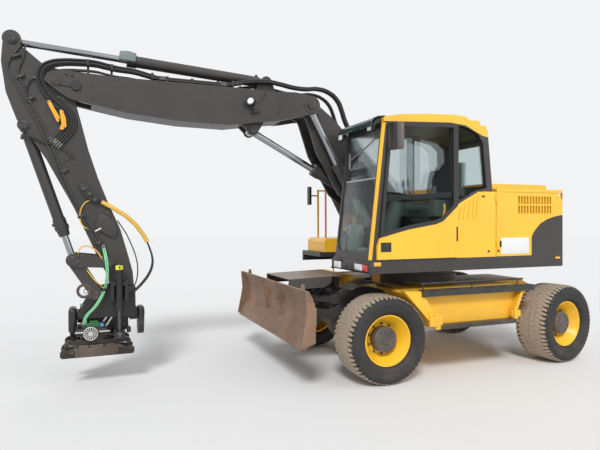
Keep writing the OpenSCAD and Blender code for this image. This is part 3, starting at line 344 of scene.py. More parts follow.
# The heading, height and width of each soft sun are in degrees
SUNS = (("key_light", 152, 42, 14, 2.1), ("fill_light", 215, 30, 60, 0.55))
for name, heading, height, width, strength in SUNS:
    lamp = bpy.data.lights.new(name, "SUN")
    lamp.energy = strength
    lamp.angle = math.radians(width)
    sun = bpy.data.objects.new(name, lamp)
    sun.rotation_euler = (math.radians(90 - height), 0, math.radians(heading))
    scene.collection.objects.link(sun)
print("lights", [o.name for o in scene.objects if o.type == "LIGHT"])

# %% Floor
def mesh_object(name, bm, material):
    """An object in the scene from a mesh that is under way."""
    mesh = bpy.data.meshes.new(name)
    bm.to_mesh(mesh)
    bm.free()
    mesh.materials.append(material)
    made = bpy.data.objects.new(name, mesh)
    scene.collection.objects.link(made)
    return made


bm = bmesh.new()
bmesh.ops.create_grid(bm, x_segments=1, y_segments=1, size=60)
floor = mesh_object("floor", bm, new_material(
    "studio_floor", {"Base Color": (0.80, 0.80, 0.80, 1), "Roughness": 0.9}))
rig.stage(floor)
print("floor", floor.name)

# %% [markdown]
# Paint on a working machine is never one colour. `finish` builds a material from the things that
# happen to it: slow variation of the tone, fine grain that changes the gloss, pale dust that
# settles low down and on faces that look up, and bare worn edges. Every pattern reads Object
# coordinates, and each piece's origin is the machine's, so heights are real heights.

# %% Finishes for steel, rubber and plastic
DUST = (0.36, 0.28, 0.19, 1)
EDGE_WIDTH, GRAIN_DEPTH = 0.012, 0.004


def finish(name, colour, rough=0.42, metal=0.0, tone=0.10, grain=60.0, bump=0.06, dust=0.25,
           dust_top=1.3, worn=(0.2, 0.17, 0.14, 1), wear=0.0, coat=0.0, rough_spread=0.12):
    """A steel, rubber or plastic finish; colours are linear."""
    material = new_material(name, {"Metallic": metal})
    n = Nodes(material)
    dark, light = [tuple(min(1, c * (1 + way * tone)) for c in colour) + (1,) for way in (-1, 1)]
    skin = n.mix(n.ramp(n.noise(2.3, 3), 0.3, 0.7), dark, light)
    if wear:
        # Bare metal shows where a rounded copy of the edge turns away from the face
        edge = n.new("Bevel")
        edge.samples = 4
        edge.inputs["Radius"].default_value = EDGE_WIDTH
        turned = n.new("VectorMath")
        turned.operation = "DOT_PRODUCT"
        n.plug(turned.inputs[0], edge.outputs[0])
        n.plug(turned.inputs[1], n.normal())
        chips = n.ramp(n.noise(34, 5), 0.62 - 0.2 * wear, 0.70 - 0.2 * wear)
        edges = n.ramp(turned.outputs["Value"], 0.995, 0.90)
        skin = n.mix(n.calc("MULTIPLY", edges, chips), skin, worn)
    if dust:
        low = n.ramp(n.split(n.coords())["Z"], dust_top, 0.1)
        up = n.ramp(n.split(n.normal())["Z"], 0.2, 1.0, 0.0, 0.8)
        patchy = n.ramp(n.noise(7.5, 8), 0.35, 0.75, 0.15, 1.0)
        amount = n.calc("MULTIPLY", n.calc("MULTIPLY", n.calc("MAXIMUM", low, up), patchy), dust)
        skin = n.mix(amount, skin, DUST)
    n.surface("Base Color", skin)
    fine = n.noise(grain, 6)
    n.surface("Roughness", n.ramp(fine, 0.3, 0.7, rough - rough_spread, rough + rough_spread))
    if coat:
        n.surface("Coat Weight", coat)
        n.surface("Coat Roughness", 0.12)
    relief = n.new("Bump")
    relief.inputs["Strength"].default_value = bump
    relief.inputs["Distance"].default_value = GRAIN_DEPTH
    n.plug(relief.inputs["Height"], fine)
    n.surface("Normal", relief.outputs[0])
    return material


YELLOW = finish("yellow_paint", (0.90, 0.50, 0.028), rough=0.34, tone=0.05, dust=0.30, wear=0.25,
                coat=0.25, worn=(0.30, 0.17, 0.05, 1))
DARK = finish("dark_grey_paint", (0.037, 0.034, 0.032), tone=0.12, dust=0.30, wear=0.45,
              worn=(0.16, 0.13, 0.11, 1))
CHASSIS_YELLOW = finish("chassis_yellow", (0.90, 0.48, 0.022), tone=0.08, dust=0.32, wear=0.5,
                        worn=(0.28, 0.16, 0.07, 1))
BLACK = finish("black_paint", (0.018, 0.018, 0.019), rough=0.45, dust=0.35, wear=0.3,
               worn=(0.12, 0.11, 0.10, 1))
UNDER = finish("axle_paint", (0.055, 0.050, 0.046), rough=0.6, tone=0.2, dust=0.9, bump=0.3)
WORN_STEEL = finish("worn_steel", (0.085, 0.062, 0.050), rough=0.55, metal=0.25, tone=0.35, grain=28,
                    bump=0.4, dust=0.22, dust_top=1.0, wear=0.8, worn=(0.30, 0.26, 0.22, 1))
CHROME = finish("chrome_rod", (0.33, 0.34, 0.36), rough=0.14, metal=1.0, tone=0.03, grain=90,
                bump=0.01, dust=0.0, rough_spread=0.04)
STEEL = finish("bare_steel", (0.30, 0.29, 0.28), rough=0.38, metal=0.9, tone=0.15, dust=0.2)
RUBBER = finish("hose_rubber", (0.020, 0.020, 0.021), rough=0.62, tone=0.2, grain=160, bump=0.12)
PLASTIC = finish("cab_plastic", (0.115, 0.150, 0.128), rough=0.6, tone=0.08, grain=240, bump=0.15,
                 dust=0.0)
WHITE_PLATE = finish("blank_white_plate", (0.72, 0.73, 0.72), rough=0.4, tone=0.03, dust=0.15)
print("finishes", len(bpy.data.materials))

# %% [markdown]
# Wheels need finishes that follow their own shape. The rim is yellow with a dark planetary hub in
# its middle, so the colour changes with the distance from the wheel's axis, which the material
# works out from Object coordinates. The tyre is nearly black on its wall and tan with dust on its
# tread, for the same reason.

# %% Wheels: places and a finish by radius
TYRE_R, DARK_R = 0.515, 0.139
STEER = math.radians(8.5)
PIN_TO_WHEEL = 0.3
wheels, rims = {}, {}
for side, name in ((1, "left"), (-1, "right")):
    wheels["front_" + name] = (chassis(1332.5, side * 1052, 515), 0.0, side)
    out = side * PIN_TO_WHEEL * Vector((-math.sin(STEER), math.cos(STEER), 0))
    wheels["rear_" + name] = (chassis(-1332.5, side * 752, 515) + out, STEER, side)


def wheel_matrix(place):
    """From a wheel's own frame, with +Y out of the machine, to the machine's."""
    middle, turned, side = place
    return Matrix.Translation(middle) @ Matrix.Rotation(turned + (0 if side > 0 else math.pi), 4, "Z")


def colour_by_radius(material, place, low, high, spread, grain, inner, outer):
    """One colour inside a radius and one outside, with a ragged edge between low and high."""
    n = Nodes(material)
    shift = n.new("Mapping")
    shift.vector_type = "TEXTURE"
    shift.inputs["Location"].default_value = place[0]
    shift.inputs["Rotation"].default_value = (0, 0, place[1])
    n.plug(shift.inputs["Vector"], n.coords())
    x, _, z = n.split(shift.outputs[0])
    radius = n.calc("SQRT", n.calc("ADD", n.calc("POWER", x, 2.0), n.calc("POWER", z, 2.0)))
    ragged = n.calc("ADD", radius, n.ramp(n.noise(*grain), 0.3, 0.7, -spread, spread))
    n.surface("Base Color", n.mix(n.ramp(ragged, low, high), inner, outer))


for name, place in wheels.items():
    rim = finish("rim_" + name, (0.93, 0.52, 0.02), rough=0.36, tone=0.05, dust=0.15, dust_top=0.7,
                 coat=0.2)
    colour_by_radius(rim, place, DARK_R, DARK_R + 0.001, 0.0005, (22, 5), (0.052, 0.048, 0.046, 1),
                     Nodes(rim).colour_so_far())
    rims["rim_" + name] = rim
print("wheels", list(wheels))

# %% [markdown]
# The chassis frame is yellow along its beam and grey at its nose. The slew ring's seat lies in the deck's
# shade, and that shade is painted on it in dark grey. The material picks them out by where they are on the machine.

# %% The grey nose of the chassis frame and the painted shade on the slew ring's seat
NOSE_FROM_X = -1.171
BEAM_X, BEAM_HALF, BEAM_LOW = -0.666, 0.335, 1.03
SHADED_SEAT_TO_X, SHADED_SEAT_LOW = -1.001, 1.072
FRAME_HALF = 0.70

n = Nodes(CHASSIS_YELLOW)
x, y, z = n.split(n.coords())
beam = n.calc("MULTIPLY", n.calc("COMPARE", x, BEAM_X, BEAM_HALF), n.calc("GREATER_THAN", z, BEAM_LOW))
nose = n.calc("MULTIPLY", n.calc("GREATER_THAN", x, NOSE_FROM_X), n.calc("SUBTRACT", 1.0, beam))
# The slew ring's seat under the deck gets painted shade in dark grey
seat = n.calc("MULTIPLY", n.calc("LESS_THAN", x, SHADED_SEAT_TO_X), n.calc("GREATER_THAN", z, SHADED_SEAT_LOW))
inside = n.calc("LESS_THAN", n.calc("ABSOLUTE", y), FRAME_HALF)
where = n.calc("MULTIPLY", n.calc("MAXIMUM", nose, seat), inside)
dusty = n.ramp(n.split(n.normal())["Z"], 0.5, 1.0, 0.0, 0.75)
# The dark grey is the nose's own paint and the painted shade on the seat; dust lies on faces that look up
grey = n.mix(dusty, (0.060, 0.055, 0.054, 1), (0.24, 0.165, 0.115, 1))
n.surface("Base Color", n.mix(where, n.colour_so_far(), grey))
print("nodes in the chassis finish", len(n.tree.nodes))

# %% [markdown]
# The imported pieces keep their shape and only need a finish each. The tool end is crowded and worn:
# its steel is nearly black, the coupler is dark with oil, and the blade has rusted.

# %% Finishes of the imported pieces
GLASS = new_material("cab_glass_tint", {
    "Base Color": (0.46, 0.56, 0.56, 1), "Roughness": 0.02, "IOR": 1.12, "Transmission Weight": 1.0,
    "Alpha": 0.45})
RUSTY = finish("rusty_blade", (0.215, 0.120, 0.072), rough=0.6, tone=0.30, grain=26, bump=0.4,
               dust=0.35, dust_top=1.2, wear=0.6, worn=(0.26, 0.24, 0.21, 1))
OILY = finish("oily_steel", (0.020, 0.018, 0.016), metal=0.3, tone=0.35, grain=40, bump=0.4,
              dust=0.12, wear=0.5, worn=(0.20, 0.15, 0.11, 1))
TOOL_BLACK = finish("tool_black", (0.009, 0.009, 0.010), tone=0.2, dust=0.10, wear=0.3,
                    worn=(0.10, 0.09, 0.08, 1))
DARK_ROD = finish("dark_rod", (0.11, 0.11, 0.115), rough=0.2, metal=0.9, tone=0.05, dust=0.05)

DRESSES = (
    (YELLOW, "tanks side_panels hood engine_door_left engine_door_right cab_roof cab_door rails"),
    (CHASSIS_YELLOW, "chassis_frame"),
    (DARK, "deck counterweight cab_frame base_boom front_boom arm lift_barrels adjust_barrel"),
    (DARK, "arm_barrel tool_barrel rocker tool_link blade_arms blade_links blade_barrels"),
    (BLACK, "steps cab_door_frame visor mirrors"),
    (UNDER, "axle_fixed axle_steer knuckle_left knuckle_right engine_block"),
    (RUSTY, "blade"),
    (CHROME, "blade_rods lift_rods adjust_rod arm_rod tool_rod"),
    (GLASS, "cab_glass cab_door_glass"),
    (PLASTIC, "consoles seat"),
    (STEEL, "lamps"),
    (OILY, "coupler"),
    (TOOL_BLACK, "tool_bracket tilt_barrel_left tilt_barrel_right rotator"),
    (DARK_ROD, "tilt_rod_left tilt_rod_right"),
    *[(rim, name) for name, rim in rims.items()])
for material, names in DRESSES:
    for name in names.split():
        for slot in frame["nodes"][name].material_slots:
            slot.material = material
print("nodes dressed", sum(len(names.split()) for _, names in DRESSES))

# %% [markdown]
# A new piece starts as a bmesh, becomes a mesh with one finish, and rides on a body of the model,
# so it moves with the joints.

# %% From a bmesh to a piece that rides
def add_piece(name, bm, body, material, slot=None, smooth=35):
    """A finished mesh that rides on a body of the model."""
    piece = mesh_object(name, bm, material)
    piece.data.shade_smooth()
    if smooth < 180:
        piece.data.set_sharp_from_angle(angle=math.radians(smooth))
    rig.ride(piece, body)
    if slot:
        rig.slot(piece, slot)
    return piece


print("bodies to ride on", len(frame["bodies"]))

# %% [markdown]
# Small fitted parts are mostly boxes with rounded edges, bars, rings and flat plates cut to an
# outline. Each helper builds one of these with bmesh operators into a mesh that is under way,
# so one piece can hold many bolts. `build` makes a whole piece from rows of such shapes.

# %% Shapes that come back
BEVEL = dict(offset_type="OFFSET", profile=0.5, affect="EDGES", material=-1)


def block(bm, low, high, round_by=0.004, turn=None, about=None):
    """A box between two corners with rounded edges, turned about a point if a matrix is given."""
    middle = (low + high) / 2
    size = Matrix.Diagonal((*[abs(c) for c in high - low], 1))
    verts = bmesh.ops.create_cube(bm, size=1, matrix=Matrix.Translation(middle) @ size)["verts"]
    if turn is not None:
        bmesh.ops.rotate(bm, verts=verts, cent=about or middle, matrix=turn)
    if round_by:
        edges = list({e for v in verts for e in v.link_edges})
        bmesh.ops.bevel(bm, geom=edges, offset=round_by, segments=3, **BEVEL)


def bar(bm, a, b, radius, sides=16, end_radius=None):
    """A round bar or cone between two places; with six sides it is a nut."""
    turn = (b - a).to_track_quat("Z", "Y").to_matrix().to_4x4()
    bmesh.ops.create_cone(bm, cap_ends=True, segments=sides, radius1=radius,
                          radius2=radius if end_radius is None else end_radius,
                          depth=(b - a).length, matrix=Matrix.Translation((a + b) / 2) @ turn)


def ring(bm, centre, axis, radius, thickness, steps=32, sides=10):
    """A round bar bent to a full circle about an axis."""
    axis = axis.normalized()
    out = axis.orthogonal().normalized()
    turn = out.cross(axis).to_track_quat("Z", "Y").to_matrix().to_4x4()
    section = bmesh.ops.create_circle(bm, segments=sides, radius=thickness / 2,
                                      matrix=Matrix.Translation(centre + out * radius) @ turn)["verts"]
    edges = list({e for v in section for e in v.link_edges})
    bmesh.ops.spin(bm, geom=section + edges, cent=centre, axis=axis, dvec=(0, 0, 0), angle=math.tau,
                   steps=steps, use_merge=True)


def outline(bm, points):
    """A closed chain of edges through points, ready to be spun or filled."""
    verts = [bm.verts.new(p) for p in points]
    return verts, [bm.edges.new(pair) for pair in zip(verts, verts[1:] + verts[:1])]


def plate(bm, points, through, round_by=0.0):
    """A closed outline, filled and pushed through to a thickness."""
    before = set(bm.faces)
    flat = bmesh.ops.edgeloop_fill(bm, edges=outline(bm, points)[1])["faces"]
    pushed = bmesh.ops.extrude_face_region(bm, geom=flat, use_keep_orig=True)["geom"]
    moved = [v for v in pushed if isinstance(v, bmesh.types.BMVert)]
    bmesh.ops.translate(bm, verts=moved, vec=through)
    bmesh.ops.recalc_face_normals(bm, faces=[f for f in bm.faces if f not in before])
    if round_by:
        rim = [e for f in pushed if isinstance(f, bmesh.types.BMFace) for e in f.edges]
        bmesh.ops.bevel(bm, geom=rim, offset=round_by, segments=2, **BEVEL)


def bolt(bm, place, out, size=0.012):
    """A washer with a six-sided head on it, standing out from a face."""
    bar(bm, place - out * 0.002, place + out * 0.003, size * 1.5, 14)
    bar(bm, place + out * 0.002, place + out * (0.003 + size * 0.8), size, 6)


def placed(place, value):
    """A tuple is a place in millimetres and a list is many; everything else stays as it is."""
    if isinstance(value, tuple):
        return place(*value)
    return [place(*v) for v in value] if isinstance(value, list) else value


def build(name, body, material, slot, place, *rows):
    """A piece from rows: a shape's helper, then the places and sizes that it takes."""
    bm = bmesh.new()
    for shape, *values in rows:
        shape(bm, *[placed(place, value) for value in values])
    add_piece(name, bm, body, material, slot)


LAMP_SKIN = dict(grain=300, bump=0.1, dust=0.1, coat=0.6)
LAMP_WHITE = finish("lamp_lens", (0.82, 0.84, 0.86), rough=0.12, tone=0.03, **LAMP_SKIN)
LAMP_RED = finish("lamp_red", (0.55, 0.02, 0.012), rough=0.2, tone=0.05, **LAMP_SKIN)
LAMP_ORANGE = finish("lamp_orange", (0.95, 0.42, 0.02), rough=0.2, tone=0.05, **LAMP_SKIN)
MIRROR = finish("mirror_glass", (0.55, 0.56, 0.57), rough=0.06, metal=1.0, tone=0.02, bump=0.0,
                dust=0.05, rough_spread=0.02)
print("shape helpers and lamp finishes ready")

# %% [markdown] ## Hoses and pipes Oil reaches each cylinder through steel pipes on the booms,
# and through rubber hoses where something turns. A hose has a real length, a smallest bend of
# about four times its thickness, and a crimped steel end. Each one is a Bezier curve with
# automatic handles through places read from the picture, given a round section and then turned
# into a mesh.

# %% Lines that bend
YELLOW_HOSE = finish("yellow_hose", (0.72, 0.43, 0.06), rough=0.5, tone=0.12, grain=220, bump=0.2,
                     dust=0.2)
FITTING = finish("zinc_fitting", (0.13, 0.125, 0.115), rough=0.4, metal=0.8, tone=0.15, dust=0.15)
GREEN_HOSE = finish("green_hose", (0.22, 0.58, 0.30), rough=0.45, tone=0.12, grain=200, bump=0.1,
                    dust=0.1)
PIPE = finish("steel_pipe", (0.030, 0.029, 0.028), rough=0.32, dust=0.15, coat=0.3)
BIG_HOSE, PIPE_WIDTH, LOCK_HOSE = 0.026, 0.022, 0.015


def bent_line(name, places, thickness, material):
    """A round line through places, as a mesh object, with the points of its centre line."""
    curve = bpy.data.curves.new(name, "CURVE")
    curve.dimensions = "3D"
    curve.bevel_depth = thickness / 2
    curve.bevel_resolution = 2
    curve.resolution_u = 7
    curve.use_fill_caps = True
    spline = curve.splines.new("BEZIER")
    spline.bezier_points.add(len(places) - 1)
    knots = list(spline.bezier_points)
    for knot, place in zip(knots, places):
        knot.co = place
        knot.handle_left_type = knot.handle_right_type = "AUTO"
    draft = bpy.data.objects.new(name + "_draft", curve)
    scene.collection.objects.link(draft)
    bpy.context.view_layer.update()
    centre = [knots[0].co.copy()]
    for a, b in zip(knots, knots[1:]):
        centre += interpolate_bezier(a.co, a.handle_right, b.handle_left, b.co, 8)[1:]
    depsgraph = bpy.context.evaluated_depsgraph_get()
    mesh = bpy.data.meshes.new_from_object(draft.evaluated_get(depsgraph))
    bpy.data.objects.remove(draft)
    mesh.name = name
    mesh.shade_smooth()
    mesh.materials.append(material)
    line = bpy.data.objects.new(name, mesh)
    scene.collection.objects.link(line)
    return line, centre


fittings = {}
# Start and length of each ring of a crimped end, in diameters, then its radius and its sides
CRIMP = ((-0.4, 1.9, 1.22, 14), (-1.0, 0.6, 1.38, 6), (-1.5, 0.5, 0.92, 12))


def crimp(body, place, towards, thickness):
    """A hose end: the crimped sleeve, a collar and a six-sided nut, all round one axis."""
    bm = fittings.setdefault(body, bmesh.new())
    turn = (towards - place).to_track_quat("Z", "Y").to_matrix().to_4x4()
    r = thickness / 2
    for start, long, size, sides in CRIMP:
        along = Matrix.Translation((0, 0, (start + long / 2) * 2 * r))
        bmesh.ops.create_cone(bm, cap_ends=True, segments=sides, radius1=r * size, radius2=r * size,
                              depth=long * 2 * r, matrix=Matrix.Translation(place) @ turn @ along)


def hose(name, places, thickness, material, body, to_body=None, turns=None, lay="hanging"):
    """A free hose from the first place to the last, with a crimped end at each."""
    line, centre = bent_line(name, places, thickness, material)
    long = sum((b - a).length for a, b in zip(centre, centre[1:]))
    crimp(body, centre[0], centre[2], thickness)
    crimp(to_body or body, centre[-1], centre[-3], thickness)
    if to_body:
        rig.blend(line, body, to_body, start=turns[0], end=turns[1])
    else:
        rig.ride(line, body)
    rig.slot(line, "rubber")
    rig.cord(line, exit=centre[0], length=round(long, 3), diameter=thickness, far_end="object",
            stiffness="medium", lay=lay, path=centre)
    print(f"{name}: {long:.2f} m")


def pipe(name, places, thickness, body, material=PIPE, slot="paint_grey"):
    """A bent pipe or sleeve that rides on one body."""
    line, _ = bent_line(name, places, thickness, material)
    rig.ride(line, body)
    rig.slot(line, slot)


def route(places, side=0):
    """Places of x, z and perhaps a side; the others take the side that is given."""
    return [boom(x, z, *(own or [side])) for x, z, *own in places]


def beside(places, side, out=0.0, end_side=None, end_out=None):
    """The same route in a lane of its own: how far it lies to the side and outwards at each end."""
    end_side = side if end_side is None else end_side
    end_out = out if end_out is None else end_out
    moved = []
    for k, (x, z) in enumerate(places):
        (x0, z0), (x1, z1) = places[max(k - 1, 0)], places[min(k + 1, len(places) - 1)]
        share = k / (len(places) - 1)
        off = Vector((z0 - z1, x1 - x0)).normalized() * (out + (end_out - out) * share)
        moved.append(boom(x + off.x, z + off.y, side + (end_side - side) * share))
    return moved


print("helpers for hoses and pipes ready")

# %% [markdown]
# The largest bundle crosses the nose of the upper boom to the arm. It has spare length for the
# arm's whole swing, so here it bows out beside the arm. Three hoses lie on the boom and two on
# those; at the arm all five are side by side. Each is the same route, moved into its own lane.
# Three more cross on the far side.

# %% Hoses from the upper boom to the arm
over_nose = [(3500, 3597), (3580, 3602), (3680, 3624), (3830, 3655), (4010, 3668), (4130, 3686),
             (4240, 3705), (4430, 3706), (4610, 3690), (4716, 3662), (4790, 3612), (4822, 3547),
             (4822, 3470), (4790, 3390), (4700, 3262), (4590, 3165), (4525, 3060), (4535, 2965),
             (4600, 2880), (4680, 2790)]
nose_turn = (boom(4700, 3560), boom(4700, 3000))
ARM_LANE, ARM_PITCH, ARM_FIRST = 131, 28, -70
LANES = ((118, 0), (148, 0), (176, 0), (133, 24), (163, 24))
FAR_LANES = ((-118, 0), (-148, 0), (-176, 0))
for k, (side, out) in enumerate(LANES + FAR_LANES):
    arm_side = math.copysign(ARM_LANE, side)
    arm_out = ARM_PITCH * (k % len(LANES)) + ARM_FIRST
    hose(f"nose_hose_{k + 1}", beside(over_nose, side, out, arm_side, arm_out), BIG_HOSE, RUBBER,
         "front_boom", "arm", nose_turn)

# %% [markdown]
# Behind the joint of the two booms the same lanes climb from the lower boom's back over the joint.
# Between the two bundles the oil runs in straight steel pipes on top of the upper boom, so each
# pipe starts where one hose ends and stops where the next begins. Clamp blocks hold them.

# %% Hoses over the boom joint, and the pipes between the bundles
over_joint = [(2760, 3597), (2690, 3600), (2600, 3620), (2500, 3646), (2404, 3666), (2270, 3682),
              (2135, 3686), (1984, 3668), (1805, 3642), (1640, 3638), (1461, 3655), (1290, 3615),
              (1174, 3520), (1116, 3402), (1075, 3285), (1020, 3172), (965, 3080), (905, 2995),
              (850, 2915)]
up_the_back = [(862, 2924), (850, 2911), (725, 2785), (560, 2607), (390, 2425), (215, 2221),
               (120, 2071), (62, 1978)]
joint_turn = (boom(1850, 3600), boom(1250, 3450))
for k, (side, out) in enumerate(LANES + FAR_LANES):
    low_side = side - math.copysign(20, side)
    hose(f"joint_hose_{k + 1}", beside(over_joint, side, -out, low_side), BIG_HOSE, RUBBER,
         "front_boom", "base_boom", joint_turn)
    pipe(f"top_pipe_{k + 1}", route([(x, 3594 + out) for x in (2750, 2960, 3300, 3510)], side),
         PIPE_WIDTH, "front_boom")
    pipe(f"back_pipe_{k + 1}", beside(up_the_back, low_side, -out), PIPE_WIDTH, "base_boom")

build("top_clamps", "front_boom", BLACK, "black", boom, *[
    (block, (x - 18, 3572, side), (x + 18, top, side + 94), 0.006)
    for x in (2830, 3150, 3450) for side, top in ((98, 3636), (-192, 3612))])
print("hoses and pipes over the booms made")

# %% [markdown]
# Two pipes run down the arm beside its front edge, and short hoses leave them. At the foot the
# tool turns on the arm, so its hoses hang in wide loops: a thick yellow sleeve that keeps three
# hoses together, thin yellow ones to the lock, and two green ones down to the turning unit.

# %% Pipes and hoses on the arm
FACE = 129
pipe("arm_pipe_outer", route((
    (5018, 3845), (5050, 3790), (5105, 3715), (5145, 3620), (5143, 3560), (5060, 3385), (4930, 3120),
    (4802, 2865), (4700, 2600), (4600, 2320), (4560, 2225), (4487, 2074), (4326, 1800), (4180, 1540)),
    FACE), PIPE_WIDTH, "arm")
pipe("arm_pipe_inner", route((
    (4965, 3850), (4985, 3780), (4995, 3715), (5047, 3532), (4995, 3395), (4880, 3130), (4762, 2876),
    (4660, 2600), (4562, 2320), (4520, 2225), (4440, 2060), (4290, 1800), (4145, 1540)),
    FACE), PIPE_WIDTH, "arm")
hose("branch_hose", route((
    (4870, 3502), (4915, 3470), (4952, 3410), (4965, 3345), (4958, 3290), (4938, 3240)),
    FACE + 6), 0.018, RUBBER, "arm")
hose("tool_cylinder_hose", route((
    (4672, 2792, 131), (4740, 2772, 136), (4810, 2788, 140), (4880, 2822, 142), (4945, 2846, 136),
    (4992, 2856, 108), (5014, 2863, 62))),
    0.022, RUBBER, "arm", "tool_barrel", (boom(4850, 2820, 130), boom(5000, 2860, 130)))

SLEEVE = [(4262, 2150, 131), (4190, 2122, 150), (4100, 2072, 168), (4016, 2019, 174), (3940, 1970, 176),
          (3868, 1905, 176), (3810, 1848, 176), (3767, 1786, 176), (3722, 1722, 176), (3690, 1655, 176),
          (3655, 1560, 176), (3632, 1474, 176), (3632, 1380, 176), (3668, 1280, 176), (3730, 1190, 176),
          (3805, 1110, 176), (3880, 1050, 176), (3962, 1010, 176)]
tool_turn = (boom(3700, 1500), boom(3800, 1060))
for k, (up, out) in enumerate(((9, -3), (-9, -3), (0, 12))):
    hose(f"sleeved_hose_{k + 1}", route([(x + up * 0.6, z + up * 0.8, y + out) for x, z, y in SLEEVE]),
         0.016, RUBBER, "arm", "tool_bracket", tool_turn)
pipe("yellow_sleeve", route([(x, z, y + 2) for x, z, y in SLEEVE[1:10]]), 0.050, "arm", YELLOW_HOSE,
     "paint_yellow")

hose("lock_hose_1", route((
    (4262, 2140), (4302, 2146), (4345, 2130), (4384, 2095), (4412, 2045), (4425, 1985), (4424, 1920),
    (4405, 1865), (4372, 1828), (4330, 1806)), 137), LOCK_HOSE, YELLOW_HOSE, "arm")
hose("lock_hose_2", route((
    (4447, 1520), (4442, 1560), (4420, 1598), (4378, 1620), (4330, 1614), (4280, 1586), (4240, 1548),
    (4210, 1502), (4183, 1455)), 211), LOCK_HOSE, YELLOW_HOSE, "rocker")
hose("lock_hose_3", route((
    (4366, 1356, 180), (4340, 1322, 190), (4315, 1286, 196), (4290, 1250, 198), (4258, 1212, 196),
    (4222, 1176, 186), (4190, 1142, 170), (4168, 1112, 154))),
    LOCK_HOSE, YELLOW_HOSE, "tool_link", "tool_bracket", (boom(4340, 1330), boom(4190, 1140)))
GREEN = [(4178, 1610, 131), (4166, 1560, 156), (4156, 1505, 200), (4146, 1440, 216), (4139, 1350, 218),
         (4139, 1264, 214), (4148, 1190, 196), (4160, 1135, 172), (4168, 1106, 156)]
LOWER = [(4168, 1106, 156), (4182, 1074, 186), (4202, 1035, 208), (4229, 988, 216), (4262, 938, 216),
         (4300, 892, 212), (4342, 850, 206), (4374, 800, 198), (4386, 745, 192), (4388, 702, 190)]
GREEN_RUNS = ((1, GREEN, "arm", "tool_bracket", (boom(4146, 1430), boom(4160, 1150))),
              (3, LOWER, "tool_bracket", "rotator", (boom(4200, 1040), boom(4380, 760))))
for k, shift in enumerate((-10, 10)):
    for first, places, body, to_body, turns in GREEN_RUNS:
        hose(f"green_hose_{k + first}", route([(x + shift, z, y) for x, z, y in places]), 0.018,
             GREEN_HOSE, body, to_body, turns)
hose("rear_hose", route((
    (4010, 1892, 128), (3970, 1830, 138), (3930, 1765, 142), (3890, 1680, 146), (3850, 1582, 150),
    (3815, 1470, 152), (3798, 1370, 152), (3800, 1270, 152), (3815, 1190, 150), (3840, 1130, 148))),
    0.014, RUBBER, "arm", "tool_bracket", (boom(3830, 1480), boom(3810, 1200)))
print("hoses on the arm made")

# %% [markdown]
# ## Tyres
# A tyre is a carcass with a tread of rubber blocks on it. The carcass is its cross-section spun
# round the axle. The blocks sit in six rows, each turned a part of the pitch from the next: the
# outer ones are narrow lugs that wrap over the shoulder. One block is a small grid laid on the
# crown and pulled out to its depth.

# %% Carcass and tread blocks
CROWN = [(0.0, 0.515), (0.120, 0.5138), (0.172, 0.5110), (0.203, 0.5035), (0.224, 0.489), (0.236, 0.462)]
CARCASS = [(0, 0.506), (0.140, 0.5045), (0.160, 0.492), (0.203, 0.483), (0.226, 0.470), (0.241, 0.448),
           (0.2450, 0.420), (0.2425, 0.385), (0.2370, 0.376), (0.2375, 0.350), (0.226, 0.330),
           (0.204, 0.312), (0.1745, 0.3035), (0.168, 0.2875)]
BLOCKS = 54
BLOCK_ANGLE = math.tau / BLOCKS
# Each row of blocks on one side: its turn in blocks, from y to y, its width, lean and depth
TREAD_ROWS = ((0.0, 0.148, 0.2355, 0.038, 0.10, 0.032),
              (0.3, 0.076, 0.1475, 0.0565, 0.25, 0.014),
              (0.7, 0.003, 0.072, 0.0565, 0.35, 0.014))


def crown_radius(y):
    """Outer radius of the tread at a distance y from the tyre's middle."""
    y = abs(y)
    for (y0, r0), (y1, r1) in zip(CROWN, CROWN[1:]):
        if y <= y1:
            return r0 + (r1 - r0) * (y - y0) / (y1 - y0)
    return CROWN[-1][1]


def tread_block(bm, turn, y_in, y_out, width, lean, depth):
    grid = bmesh.ops.create_grid(bm, x_segments=1, y_segments=5, size=0.5)["verts"]
    faces = list({f for v in grid for f in v.link_faces})
    for v in grid:
        y = y_in + (v.co.y + 0.5) * (y_out - y_in)
        taper = 1.0 - 0.25 * max(0.0, (abs(y) - 0.17) / 0.07)
        angle = turn + (v.co.x * width * taper + lean * abs(y)) / TYRE_R
        v.co = Vector((math.sin(angle), y, math.cos(angle)))
    top = bmesh.ops.extrude_face_region(bm, geom=faces)["geom"]
    raised = {v for v in top if isinstance(v, bmesh.types.BMVert)}
    for v in set(grid) | raised:
        r = crown_radius(v.co.y) - (0.0 if v in raised else depth)
        v.co.x *= r
        v.co.z *= r
    bmesh.ops.delete(bm, geom=faces, context="FACES_ONLY")


def make_tyre(place):
    bm = bmesh.new()
    far = [(0, -y, r) for y, r in reversed(CARCASS[1:])]
    verts, edges = outline(bm, far + [(0, y, r) for y, r in CARCASS])
    bmesh.ops.spin(bm, geom=verts + edges, cent=(0, 0, 0), axis=LEFT, angle=math.tau, steps=120,
                   use_merge=True)
    bmesh.ops.remove_doubles(bm, verts=bm.verts, dist=1e-5)
    for k in range(BLOCKS):
        for side in (-1, 1):
            for share, y_in, y_out, *shape in TREAD_ROWS:
                turn = (k + side / 4) * BLOCK_ANGLE + share * BLOCK_ANGLE
                tread_block(bm, turn, side * y_in, side * y_out, *shape)
    bmesh.ops.recalc_face_normals(bm, faces=bm.faces)
    bmesh.ops.transform(bm, matrix=wheel_matrix(place), verts=bm.verts)
    return bm


